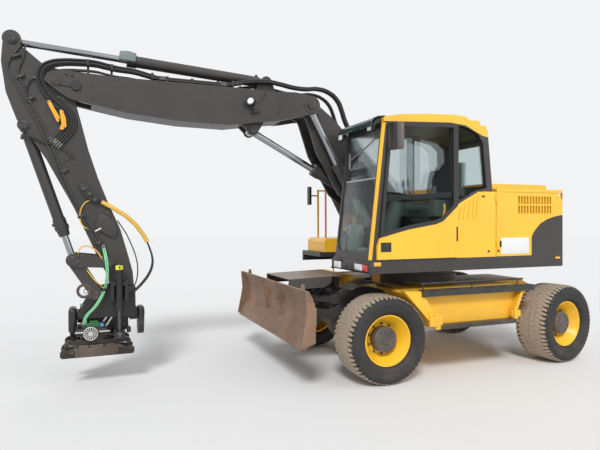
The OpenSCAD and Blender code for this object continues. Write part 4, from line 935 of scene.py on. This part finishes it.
for name, place in wheels.items():
    rubber = finish("tyre_rubber_" + name, (0.021, 0.020, 0.021), rough=0.75, tone=0.15, grain=120,
                    bump=0.25, dust=0.10, dust_top=1.0, rough_spread=0.08)
    n = Nodes(rubber)
    tan = n.mix(n.ramp(n.noise(30, 6), 0.35, 0.7), (0.46, 0.37, 0.28, 1), (0.33, 0.265, 0.20, 1))
    colour_by_radius(rubber, place, 0.484, 0.499, 0.016, (60, 6), n.colour_so_far(), tan)
    tyre = add_piece("tread_" + name, make_tyre(place), "wheel_" + name, rubber, "rubber", smooth=28)
    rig.replaces(tyre, "tyre_" + name)
print("tyre faces", len(tyre.data.polygons))

# %% [markdown]
# A planetary hub carries a bolted cover, and ten nuts hold the rim. They are made once in the
# wheel's own frame, with +Y out of the machine, and then moved to each wheel by its matrix.

# %% Hub covers and wheel nuts
HUB = finish("hub_grey", (0.062, 0.056, 0.054), rough=0.55, tone=0.25, grain=40, bump=0.3, dust=0.35)
# Each step of the hub: from y to y, its radius, its sides and the radius at its outer end
HUB_STEPS = ((0.020, 0.128, 0.150, 48, 0.150), (0.126, 0.142, 0.148, 48, 0.134),
             (0.140, 0.152, 0.060, 28, 0.052), (0.150, 0.158, 0.017, 6, 0.017))
NUTS, NUT_R, COVER_R = 10, 0.176, 0.106
for name, place in wheels.items():
    bm = bmesh.new()
    for inner, outer, *size in HUB_STEPS:
        bar(bm, LEFT * inner, LEFT * outer, *size)
    for k in range(NUTS):
        turn = math.tau * k / NUTS
        at = Vector((math.sin(turn), 0, math.cos(turn)))
        bolt(bm, at * COVER_R + LEFT * 0.142, LEFT, 0.008)
        bar(bm, at * NUT_R + LEFT * 0.018, at * NUT_R + LEFT * 0.056, 0.008, 12)
        bar(bm, at * NUT_R + LEFT * 0.022, at * NUT_R + LEFT * 0.044, 0.015, 6)
    bmesh.ops.transform(bm, matrix=wheel_matrix(place), verts=bm.verts)
    add_piece("hub_" + name, bm, "wheel_" + name, HUB, "black", smooth=30)
print("hubs with nuts", len(wheels))

# %% [markdown]
# ## Lamps, signs and small things on the upper structure
# The front of the cab stands on a rounded bumper with two lamps. Orange markers sit on the deck's
# sides, and yellow boxes close the ends of the lower step.

# %% Bumper, lamps and step boxes
TAIL_R = 1975
build("front_bumper", "upper", DARK, "paint_grey", upper,
      (block, (1240, 232, 1282), (1372, 1229, 1424), 0.028),
      (block, (1366, 566, 1310), (1377, 646, 1390), 0.005),
      (ring, (1374, 606, 1350), AHEAD, 0.022, 0.006, 24, 6),
      *[(block, (1364, low, z0), (x, high, z1), 0.006) for low, high in ((284, 508), (902, 1202))
        for x, z0, z1 in ((1378, 1298, 1402), (1411, 1394, 1416))],
      (block, (1364, 284, 1300), (1409, 338, 1414), 0.006))

whites = [(block, (1368, 342, 1306), (1406, 500, 1390), 0.006),
          (block, (1368, 912, 1316), (1406, 1094, 1398), 0.008),
          (block, (905, -1135, 1336), (925, -1085, 1380), 0.006)]
reds = [(block, (1368, 1100, 1314), (1405, 1192, 1398), 0.006),
        (block, (905, -1180, 1336), (925, -1137, 1380), 0.006)]
oranges, step_boxes = [], []
for side, marker in ((1, 1226), (-1, 700)):
    oranges += [(block, (marker, side * 1222, 1374), (marker + 92, side * 1238, 1420), 0.008),
                (block, (-1496, side * 1220, 1386), (-1420, side * 1236, 1414), 0.006)]
    for y, rows in ((820, oranges), (900, reds)):
        x = -math.sqrt(TAIL_R ** 2 - y ** 2)
        turn = Matrix.Rotation(-side * math.asin(y / TAIL_R), 3, "Z")
        rows.append((block, (x - 8, side * y - 34, 1490), (x + 14, side * y + 34, 1560), 0.006, turn))
    for x0, y0, z0, x1, y1, z1 in ((486, 1262, 640, 606, 1296, 806), (-806, 1176, 668, -664, 1252, 752)):
        step_boxes += [(block, (x0, side * y0, z0), (x1, side * y1, z1), 0.006),
                       (bolt, ((x0 + x1) / 2, side * y1, z1 - 26), LEFT * side, 0.008)]
dome = upper(-95, 700, 3125)
oranges += [(bar, dome, dome + UP * 0.085, 0.063, 24, 0.052),
            (bar, dome + UP * 0.085, dome + UP * 0.112, 0.052, 24, 0.022)]
build("lamp_lenses", "upper", LAMP_WHITE, None, upper, *whites)
build("red_lenses", "upper", LAMP_RED, None, upper, *reds)
build("orange_lenses", "upper", LAMP_ORANGE, None, upper, *oranges)
build("step_boxes", "chassis", CHASSIS_YELLOW, "paint_yellow", upper, *step_boxes)
print("lens shapes", len(whites) + len(reds) + len(oranges))

# %% [markdown]
# The sign on the engine door is a blank white plate. The cab door has an air inlet, which is a
# dark frame with slats, and a sunk handle.

# %% Sign, latches and the door's air inlet
build("blank_sign", "engine_door_left", WHITE_PLATE, None, upper,
      (block, (-966, 1224, 1470), (-512, 1229, 1676), 0.002))
build("side_latches", "upper", BLACK, "black", upper,
      (block, (-258, 1222, 2184), (-212, 1230, 2208), 0.004),
      *[(bar, (x, 1222, 1512), (x, 1231, 1512), 0.015, 16) for x in (-316, -470)])
build("engine_door_latch", "engine_door_left", BLACK, "black", upper,
      (block, (-520, 1222, 1560), (-490, 1231, 1640), 0.004))
INLET_FRAME = ((1104, 1537, 1242, 1550), (1104, 1634, 1242, 1647), (1104, 1540, 1117, 1646),
               (1229, 1540, 1242, 1646))
build("door_inlet", "cab_door", BLACK, "black", upper,
      *[(block, (x0, 1250, z0), (x1, 1259, z1), 0.003) for x0, z0, x1, z1 in INLET_FRAME],
      (block, (1112, 1252, 1545), (1234, 1256, 1640), 0),
      *[(block, (1116, 1254, z), (1230, 1259, z + 7), 0.001) for z in range(1560, 1645, 17)],
      (block, (172, 1251, 1646), (196, 1258, 1822), 0.003))
print("sign, latches and inlet made")

# %% [markdown]
# A smoked visor shades the windscreen. Two work lamps sit under it, and the left mirror stands
# turned towards the driver.

# %% Visor, work lamps, mirror and wiper
VISOR = finish("smoked_visor", (0.012, 0.035, 0.028), rough=0.10, dust=0.15, coat=0.5)
SHADE = ((1090, 3112), (1150, 3118), (1225, 3108), (1282, 3082), (1312, 3040), (1318, 2985),
         (1308, 2984), (1300, 3034), (1274, 3072), (1220, 3097), (1150, 3106), (1090, 3100))
build("visor_shade", "upper", VISOR, None, upper, (plate, [(x, 300, z) for x, z in SHADE], LEFT * 0.865))

WORK_LAMPS = ((1328, 390, 2960), (1290, 1075, 2975))
build("work_lamps", "upper", BLACK, "black", upper, *[row for x, y, z in WORK_LAMPS for row in (
    (block, (x - 70, y - 48, z - 36), (x, y + 48, z + 40), 0.016),
    (bar, (x - 40, y, z + 30), (x - 50, y, z + 120), 0.010, 10))])
build("work_lamp_lenses", "upper", LAMP_WHITE, None, upper, *[
    (block, (x - 4, y - 40, z - 29), (x + 5, y + 40, z + 33), 0.010) for x, y, z in WORK_LAMPS])

MIRROR_CASE = finish("mirror_case", (0.13, 0.115, 0.105), rough=0.5, tone=0.08, grain=200, bump=0.1,
                     dust=0.1)
middle = upper(1105, 1372, 2852)
turn = Matrix.Rotation(math.radians(20), 3, "Z")
for name, material, slot, low, high, round_by in (
        ("left_mirror_case", MIRROR_CASE, "plastic", (-0.022, -0.102, -0.155), (0.026, 0.102, 0.155), 0.022),
        ("left_mirror_glass", MIRROR, None, (-0.027, -0.088, -0.140), (-0.020, 0.088, 0.140), 0.003)):
    build(name, "upper", material, slot, upper,
          (block, middle + Vector(low), middle + Vector(high), round_by, turn, middle))
build("wiper", "upper", STEEL, "steel", upper,
      (bar, (1219, 430, 2655), (1207, 850, 2783), 0.009, 10),
      (bar, (1207, 850, 2783), (1203, 1085, 2868), 0.009, 10),
      (bar, (1225, 1090, 2880), (1185, 1090, 2866), 0.022, 14),
      (bar, (1226, 445, 2560), (1212, 430, 2750), 0.011, 8))
build("windscreen_bar", "upper", WHITE_PLATE, None, upper,
      (block, (1214, 345, 2388), (1226, 1125, 2402), 0.003))
print("visor, mirror and wiper made")

# %% [markdown] ## Inside the cab The driver's seat is sprung, with a padded cushion and back in
# fabric. A padded piece is crowned: its foam pushes the cover up in the middle, while the seams
# hold the sides down. Each pad starts as a rounded box, is divided finely, and its faces are
# raised by a smooth bump.

# %% Padded seat
FABRIC = finish("seat_fabric", (0.060, 0.064, 0.066), rough=0.85, tone=0.25, grain=420, bump=0.5,
                dust=0.0)
SEAT_Y = 735
BACK_FOOT, BACK_LEAN = upper(0, SEAT_Y, 2080), math.radians(-9)


def pad(name, low, high, crown, about=None, lean=0.0, fill=0.7):
    """A foam pad between two corners, with all its faces swelling by the crown."""
    low, high = upper(*low), upper(*high)
    middle, half = (low + high) / 2, (high - low) / 2
    bm = bmesh.new()
    bmesh.ops.create_cube(bm, size=2)
    bmesh.ops.subdivide_edges(bm, edges=bm.edges, cuts=15, use_grid_fill=True)
    for v in bm.verts:
        x, y, z = v.co
        # Corners are pulled in to a rounded box, then each face swells most at its middle
        pull = 1 - 0.10 * (x * x * y * y + y * y * z * z + z * z * x * x) / 1.5
        swell = Vector((x * (1 - y * y) * (1 - z * z), y * (1 - x * x) * (1 - z * z),
                        z * (1 - x * x) * (1 - y * y)))
        v.co = middle + Vector((x * half.x, y * half.y, z * half.z)) * pull + swell * crown
    bmesh.ops.rotate(bm, verts=bm.verts, cent=about or middle, matrix=Matrix.Rotation(lean, 3, "Y"))
    made = add_piece(name, bm, "upper", FABRIC, "cloth", smooth=180)
    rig.padded(made, fill)


pad("seat_cushion", (-70, 480, 1985), (455, 990, 2085), 0.022)
pad("seat_back", (-40, 492, 2080), (75, 978, 2650), 0.024, BACK_FOOT, BACK_LEAN)
pad("head_rest", (-120, 610, 2665), (-40, 860, 2850), 0.012, upper(-80, SEAT_Y, 2665),
    math.radians(-6), 0.9)
for side, name in ((-1, "right"), (1, "left")):
    pad("bolster_" + name, (-30, SEAT_Y + side * 200, 2120), (118, SEAT_Y + side * 262, 2560), 0.010,
        BACK_FOOT, BACK_LEAN, 0.9)
    pad("armrest_" + name, (-40, SEAT_Y + side * 290, 2168), (330, SEAT_Y + side * 368, 2216), 0.006,
        fill=0.9)
build("seat_suspension", "upper", PLASTIC, None, upper,
      *[(bar, (-75, y, 2620), (-82, y, 2700), 0.008, 10) for y in (660, 810)],
      (block, (-30, 500, 1440), (420, 970, 1560), 0.03),
      *[(block, (0, 530, z), (390, 940, z + 62), 0.028) for z in range(1560, 1950, 78)])
print("seat made")

# %% [markdown]
# The driver steers with a wheel on a column and works the booms with two levers. The front
# console carries a round dial. Behind the door glass there is a yellow handle.

# %% Controls
def grip(bm, place):
    """The egg-shaped grip of a lever."""
    ball = bmesh.ops.create_uvsphere(bm, u_segments=16, v_segments=10, radius=0.030)["verts"]
    bmesh.ops.scale(bm, vec=(0.85, 0.75, 1.9), verts=ball)
    bmesh.ops.translate(bm, vec=place, verts=ball)


axis = Vector((-190, 0, 650)).normalized()
hub = upper(700, SEAT_Y, 2150)
rows = [(ring, hub + axis * 0.055, axis, 0.185, 0.030, 40, 12)]
for k in range(3):
    spoke = Matrix.Rotation(math.tau * k / 3, 3, axis) @ axis.orthogonal().normalized()
    rows.append((bar, hub + axis * 0.03, hub + axis * 0.055 + spoke * 0.180, 0.013, 10))
rows.append((bar, hub - axis * 0.03, hub + axis * 0.065, 0.046, 20, 0.038))
for side in (-1, 1):
    base = upper(385, SEAT_Y + side * 325, 2150)
    top = base + Vector((0.02, 0, 0.235))
    rows += [(bar, base + UP * (0.022 * k), base + UP * (0.022 * (k + 1)), 0.052 - 0.010 * k, 18,
              0.036 - 0.008 * k) for k in range(4)]
    rows += [(bar, base + UP * 0.08, top, 0.009, 10), (grip, top)]
pedal_turn = Matrix.Rotation(0.5, 3, "Y")
rows += [(block, (1000, y, 1452), (1140, y + 90, 1475), 0.008, pedal_turn) for y in (610, 770)]
build("controls", "upper", RUBBER, "rubber", upper, *rows)

CONSOLE = finish("green_console", (0.16, 0.24, 0.20), rough=0.5, tone=0.08, grain=240, bump=0.15,
                 dust=0.05)
build("front_console", "upper", CONSOLE, None, upper,
      (block, (1095, 325, 1500), (1205, 610, 1850), 0.045),
      (block, (1050, 335, 1470), (1200, 800, 1560), 0.035),
      (block, (1090, 420, 1940), (1150, 520, 2180), 0.03, Matrix.Rotation(0.35, 3, "X")),
      (bar, (1130, 470, 1840), (1120, 480, 1960), 0.035, 16))
build("dial_ring", "upper", WHITE_PLATE, None, upper,
      (ring, (1207, 372, 1776), AHEAD, 0.036, 0.014, 28, 8))
build("dial_and_screen", "upper", BLACK, "black", upper,
      (bar, (1200, 372, 1776), (1208, 372, 1776), 0.030, 24),
      (block, (880, 330, 2180), (925, 350, 2330), 0.006))
pipe("door_pull", [upper(x, 1205, z) for x, z in (
    (338, 2100), (330, 2060), (335, 2000), (352, 1950), (392, 1912), (440, 1890))],
    0.026, "cab_door", YELLOW, "paint_yellow")
print("cab fitted")

# %% [markdown]
# ## Fitted parts on the booms and the arm
# Steel guards keep the hoses off the arm, clamps hold the pipes, and a valve block feeds the tool.
# They are flat plates cut to an outline and rounded boxes, so they come from `plate` and `block`.

# %% Guards, clamps and valves
def tilted(degrees):
    """A turn in the boom's plane."""
    return Matrix.Rotation(math.radians(degrees), 3, "Y")


GUARD = finish("guard_yellow", (0.86, 0.40, 0.012), tone=0.06, dust=0.15, wear=0.5, coat=0.1)
GUARDS = (((4760, 3235), (4728, 3252), (4628, 3066), (4640, 3012), (4660, 3020)),
          ((4632, 3150), (4598, 3152), (4566, 3058), (4560, 2968), (4600, 2926), (4634, 2938),
           (4612, 3000)))
build("hose_guards", "arm", GUARD, "paint_yellow", boom,
      *[(plate, [(x, z, 154) for x, z in guard], LEFT * 0.009, 0.002) for guard in GUARDS],
      *[row for x, z in ((4745, 3236), (4640, 3060), (4600, 3130), (4590, 2960)) for row in (
          (bar, (x, z, 112), (x, z, 156), 0.009, 10), (bolt, (x, z, 163), LEFT, 0.008))])

clamps, bolts = [], []
for x, z in ((5037, 3496), (4934, 3264), (4742, 2830), (4600, 2470), (4420, 1960), (4240, 1650),
             (5078, 3720)):
    at = boom(x - 14, z, FACE)
    low, high = at - Vector((0.046, 0.014, 0.016)), at + Vector((0.046, 0.018, 0.016))
    clamps.append((block, low, high, 0.005, tilted(26), at))
    bolts.append((bolt, at + LEFT * 0.018, LEFT, 0.008))
# The barred plate low on the arm, and the valve block below it
for k in range(4):
    at = boom(4616 - 40 * k, 2742 - 34 * k, 118)
    low, high = at - Vector((0.008, 0.006, 0.046)), at + Vector((0.008, 0.010, 0.046))
    clamps.append((block, low, high, 0.003, tilted(18), at))
VALVE = ((4445, 2314), (4388, 2330), (4339, 2316), (4296, 2237), (4235, 2190), (4211, 2146),
         (4254, 2099), (4320, 2140), (4382, 2190))
clamps += [(block, (4470, 2590, 112), (4640, 2602, 124), 0.003, tilted(30)),
           (plate, [(x, z, 112) for x, z in VALVE], LEFT * 0.058, 0.008)]
for x, z in ((4385, 2270), (4320, 2215), (4268, 2150)):
    bolts += [(bar, (x, z, 166), (x, z, 192), 0.017, 6),
              (bar, (x, z + 30, 166), (x + 8, z + 60, 180), 0.011, 12)]
bolts += [(bolt, (x, z, 116), LEFT, 0.009)
          for x, z in ((4640, 3300), (4600, 3292), (4130, 2010), (4170, 1850))]
BOX = ((4255, 1903), (4211, 1990), (4120, 1960), (4060, 1900), (4020, 1775), (4059, 1704),
       (4150, 1745), (4255, 1822))
build("arm_clamps", "arm", BLACK, "black", boom, *clamps)
build("arm_box", "arm", DARK, "paint_grey", boom,
      (plate, [(x, z, 112) for x, z in BOX], LEFT * 0.040, 0.010))
build("white_strip", "arm", WHITE_PLATE, None, boom,
      (block, (4195, 1795, 152), (4270, 1811, 162), 0.004, tilted(28)))
build("arm_bolts", "arm", FITTING, "steel", boom, *bolts)

# The lower gland of the arm cylinder carries its safety valve, and the tool cylinder has a long head
VALVE_PAINT = finish("valve_paint", (0.17, 0.21, 0.20), rough=0.4, dust=0.15, wear=0.4)
build("arm_cylinder_valve", "arm_barrel", VALVE_PAINT, "paint_grey", boom,
      (block, (3800, 3800, -62), (3985, 3905, 104), 0.008, tilted(-3.8)),
      (block, (3840, 3890, -30), (3930, 3925, 60), 0.006, tilted(-3.8)))
along = (boom(4501, 1460) - boom(4994, 2969)).normalized()
head = boom(4994, 2969) + along * 1.180
build("tool_cylinder_head", "tool_barrel", DARK, "paint_grey", boom,
      (bar, head, head + along * 0.045, 0.082, 28, 0.076),
      (bar, head + along * 0.040, head + along * 0.122, 0.070, 28, 0.058))
print("arm dressed")

# %% [markdown]
# The upper boom carries pipe clamps, a work lamp on a bracket and the bolted plates at its nose.
# Every pin has a cap and a keeper bolt, because a pin is always held so that it can't walk out.

# %% Upper boom fittings and pin caps
PIPE_CLAMPS = ((2640, 3655), (3620, 3660), (4075, 3715), (4330, 3745))
BOOM_BOLTS = ((4560, 3560), (4500, 3545), (4290, 3455), (4290, 3300), (1940, 3290), (2060, 3300))
build("boom_clamps", "front_boom", BLACK, "black", boom,
      *[row for x, top in PIPE_CLAMPS for row in (
          (block, (x - 13, 3566, 106), (x + 13, top, 118), 0.003),
          (block, (x - 16, top - 74, 104), (x + 16, top, 190), 0.006))],
      (bar, (4459, 3428, 190), (4459, 3428, 214), 0.055, 28, 0.050),
      (block, (4470, 3412, 186), (4650, 3438, 194), 0.004, tilted(-9)))
build("boom_bolts", "front_boom", UNDER, "steel", boom,
      *[(bolt, (x, top, 147), UP, 0.009) for x, top in PIPE_CLAMPS],
      *[(bolt, (x, z, 196), LEFT, 0.010) for x, z in BOOM_BOLTS],
      (ring, (2560, 3612, 196), LEFT, 0.022, 0.010, 20, 8))
build("boom_lamp", "front_boom", BLACK, "black", boom,
      (bar, (2396, 3380, 225), (2424, 3392, 262), 0.036, 24, 0.060),
      (bar, (2424, 3392, 262), (2446, 3400, 290), 0.060, 24, 0.058),
      (block, (2290, 3272, 190), (2400, 3300, 222), 0.006, tilted(20)),
      (bar, (2388, 3300, 206), (2404, 3378, 232), 0.010, 10))
build("boom_lamp_lens", "front_boom", LAMP_WHITE, "lamp", boom,
      (bar, (2443, 3399, 286), (2450, 3402, 294), 0.044, 24, 0.038))
hose("lamp_cable", route((
    (2376, 3380, 214), (2330, 3400, 220), (2275, 3440, 218), (2232, 3495, 210), (2215, 3545, 200),
    (2222, 3585, 176))), 0.008, RUBBER, "front_boom", lay="loose")

# The pins of each body: where they are, how far out their caps sit, and the caps' radius in metres
CAPS = {"front_boom": ((1637, 3400, 346, 0.052), (4662, 3470, 192, 0.050)),
        "arm": ((5111, 3908, 134, 0.046), (4994, 2969, 134, 0.046)),
        "rocker": ((4490, 1462, 200, 0.064), (4138, 1428, 200, 0.050)),
        "tool_bracket": ((4249, 1052, 172, 0.044), (3900, 1090, 172, 0.046))}
for body, pins in CAPS.items():
    build("pin_caps_" + body, body, DARK, "black", boom, *[row for x, z, side, r in pins for row in (
        (bar, (x, z, side - 4), (x, z, side + 10), r, 28, r * 0.94),
        (ring, (x, z, side + 10), LEFT, r * 0.62, 0.008, 24, 8),
        (bolt, (x + r * 600, z + r * 500, side + 6), LEFT, 0.008),
        (bar, (x, z, side + 8), (x, z, side + 15), 0.012, 12))])
for body, bm in fittings.items():
    add_piece("hose_ends_" + body, bm, body, FITTING, "steel", smooth=30)
print("boom fittings and pin caps", len(CAPS), "hose ends on", len(fittings), "bodies")

# %% [markdown]
# ## The tool end
# The turning unit carries a finned motor cover between two bright bars, and a green valve with a
# blue plug. The coupler's side plate is rubbed to brown steel, and its hooks have locking pins.

# %% Fitted parts on the turning unit and the coupler
GREEN_VALVE = finish("green_valve", (0.010, 0.10, 0.035), rough=0.4, dust=0.1)
BLUE = finish("blue_plug", (0.05, 0.26, 0.62), rough=0.35, tone=0.05, dust=0.05)
SILVER = finish("cast_aluminium", (0.52, 0.52, 0.51), rough=0.4, metal=0.4, grain=90, bump=0.2,
                dust=0.05)
FINS = 16
cover = boom(4319, 624, 222)
fin_low = cover + Vector((0.036, 0.004, -0.005))
fin_high = fin_low + Vector((0.036, 0.016, 0.010))
build("motor_cover", "rotator", SILVER, "steel", boom,
      (bar, cover, cover + LEFT * 0.020, 0.030, 28),
      *[(block, fin_low, fin_high, 0.0015, Matrix.Rotation(math.tau * k / FINS, 3, "Y"), cover)
        for k in range(FINS)],
      (ring, cover + LEFT * 0.010, LEFT, 0.073, 0.012, 40, 8),
      *[(bar, (a, 642, 224), (b, 642, 224), 0.010, 14) for a, b in ((4112, 4228), (4398, 4482))],
      *[row for x, z, y in ((4180, 742, 150), (4150, 700, 190), (4120, 742, 168)) for row in (
          (bar, (x, z, y), (x - 20, z + 30, y + 14), 0.012, 6),
          (bar, (x - 18, z + 28, y + 12), (x - 34, z + 52, y + 20), 0.009, 12))])
build("green_valve", "rotator", GREEN_VALVE, None, boom,
      (block, (4200, 686, 150), (4370, 742, 214), 0.010),
      (block, (4236, 738, 160), (4330, 764, 206), 0.008))
build("blue_plug", "rotator", BLUE, None, boom, (bar, (4196, 716, 196), (4196, 716, 232), 0.021, 20, 0.017))
build("end_housings", "rotator", TOOL_BLACK, "black", boom,
      (bar, cover - LEFT * 0.004, cover + LEFT * 0.008, 0.076, 40),
      (block, (4464, 612, -122), (4556, 905, 122), 0.040),
      (block, (3716, 640, -104), (3792, 880, 104), 0.030),
      (block, (4060, 596, 196), (4470, 612, 226), 0.006),
      *[(block, (x, 604, 128), (x + 46, 668, 214), 0.010) for x in (3880, 4400)])

build("coupler_side_plate", "coupler", WORN_STEEL, "worn_steel", boom,
      (block, (4022, 358, 168), (4482, 484, 174), 0.002))
PLATE_BOLTS = ((4040, 470), (4170, 470), (4330, 470), (4464, 470), (4040, 372), (4464, 372))
LOCK_PINS = ((4572, 500, 0.030), (4610, 420, 0.026), (4520, 400, 0.024), (3905, 500, 0.028),
             (3870, 410, 0.024))
build("coupler_pins", "coupler", OILY, "steel", boom,
      *[(bolt, (x, z, 174), LEFT, 0.011) for x, z in PLATE_BOLTS],
      *[row for x, z, r in LOCK_PINS for row in (
          (bar, (x, z, 96), (x, z, 166), r, 20), (bar, (x, z, -166), (x, z, -96), r, 20),
          (bar, (x, z, 160), (x, z, 172), r * 0.6, 6))])
print("turning unit and coupler dressed")

# %% [markdown]
# A worn lifting ring with a shackle hangs on the tool link. The tilt cylinders reach higher than
# their trunnions, and the near one is marked with yellow tape.

# %% Lifting ring and tilt cylinders
TAPE = finish("yellow_tape", (0.86, 0.80, 0.06), rough=0.5, tone=0.05, dust=0.05)
build("lifting_ring_wear", "tool_link", WORN_STEEL, "worn_steel", boom,
      (ring, (4384, 1105, 158), LEFT, 0.069, 0.032, 36, 12))
build("shackle", "tool_link", STEEL, "steel", boom,
      (ring, (4366, 1102, 158), Vector((0.4, 0.9, 0.3)), 0.026, 0.011, 24, 8))
for side, name in ((1, "left"), (-1, "right")):
    build("tilt_cap_" + name, "tilt_barrel_" + name, TOOL_BLACK, "black", boom,
          (bar, (4010, 1270, side * 275), (4010, 1398, side * 275), 0.039, 24),
          (bar, (4010, 1396, side * 275), (4010, 1412, side * 275), 0.044, 24, 0.038),
          (bar, (4010, 905, side * 275), (4010, 985, side * 275), 0.043, 24, 0.046),
          (bar, (4010, 1372, side * 312), (4010, 1372, side * 330), 0.012, 10))
build("tape_mark", "tilt_barrel_left", TAPE, None, boom,
      (bar, (4010, 1336, 275), (4010, 1400, 275), 0.0405, 28))
print("tool end dressed")

# %% Finish
json.dump({"cad": [list(cad_low), list(cad_high)], "visual": [list(v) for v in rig.bounds()]},
          open("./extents.json", "w"))
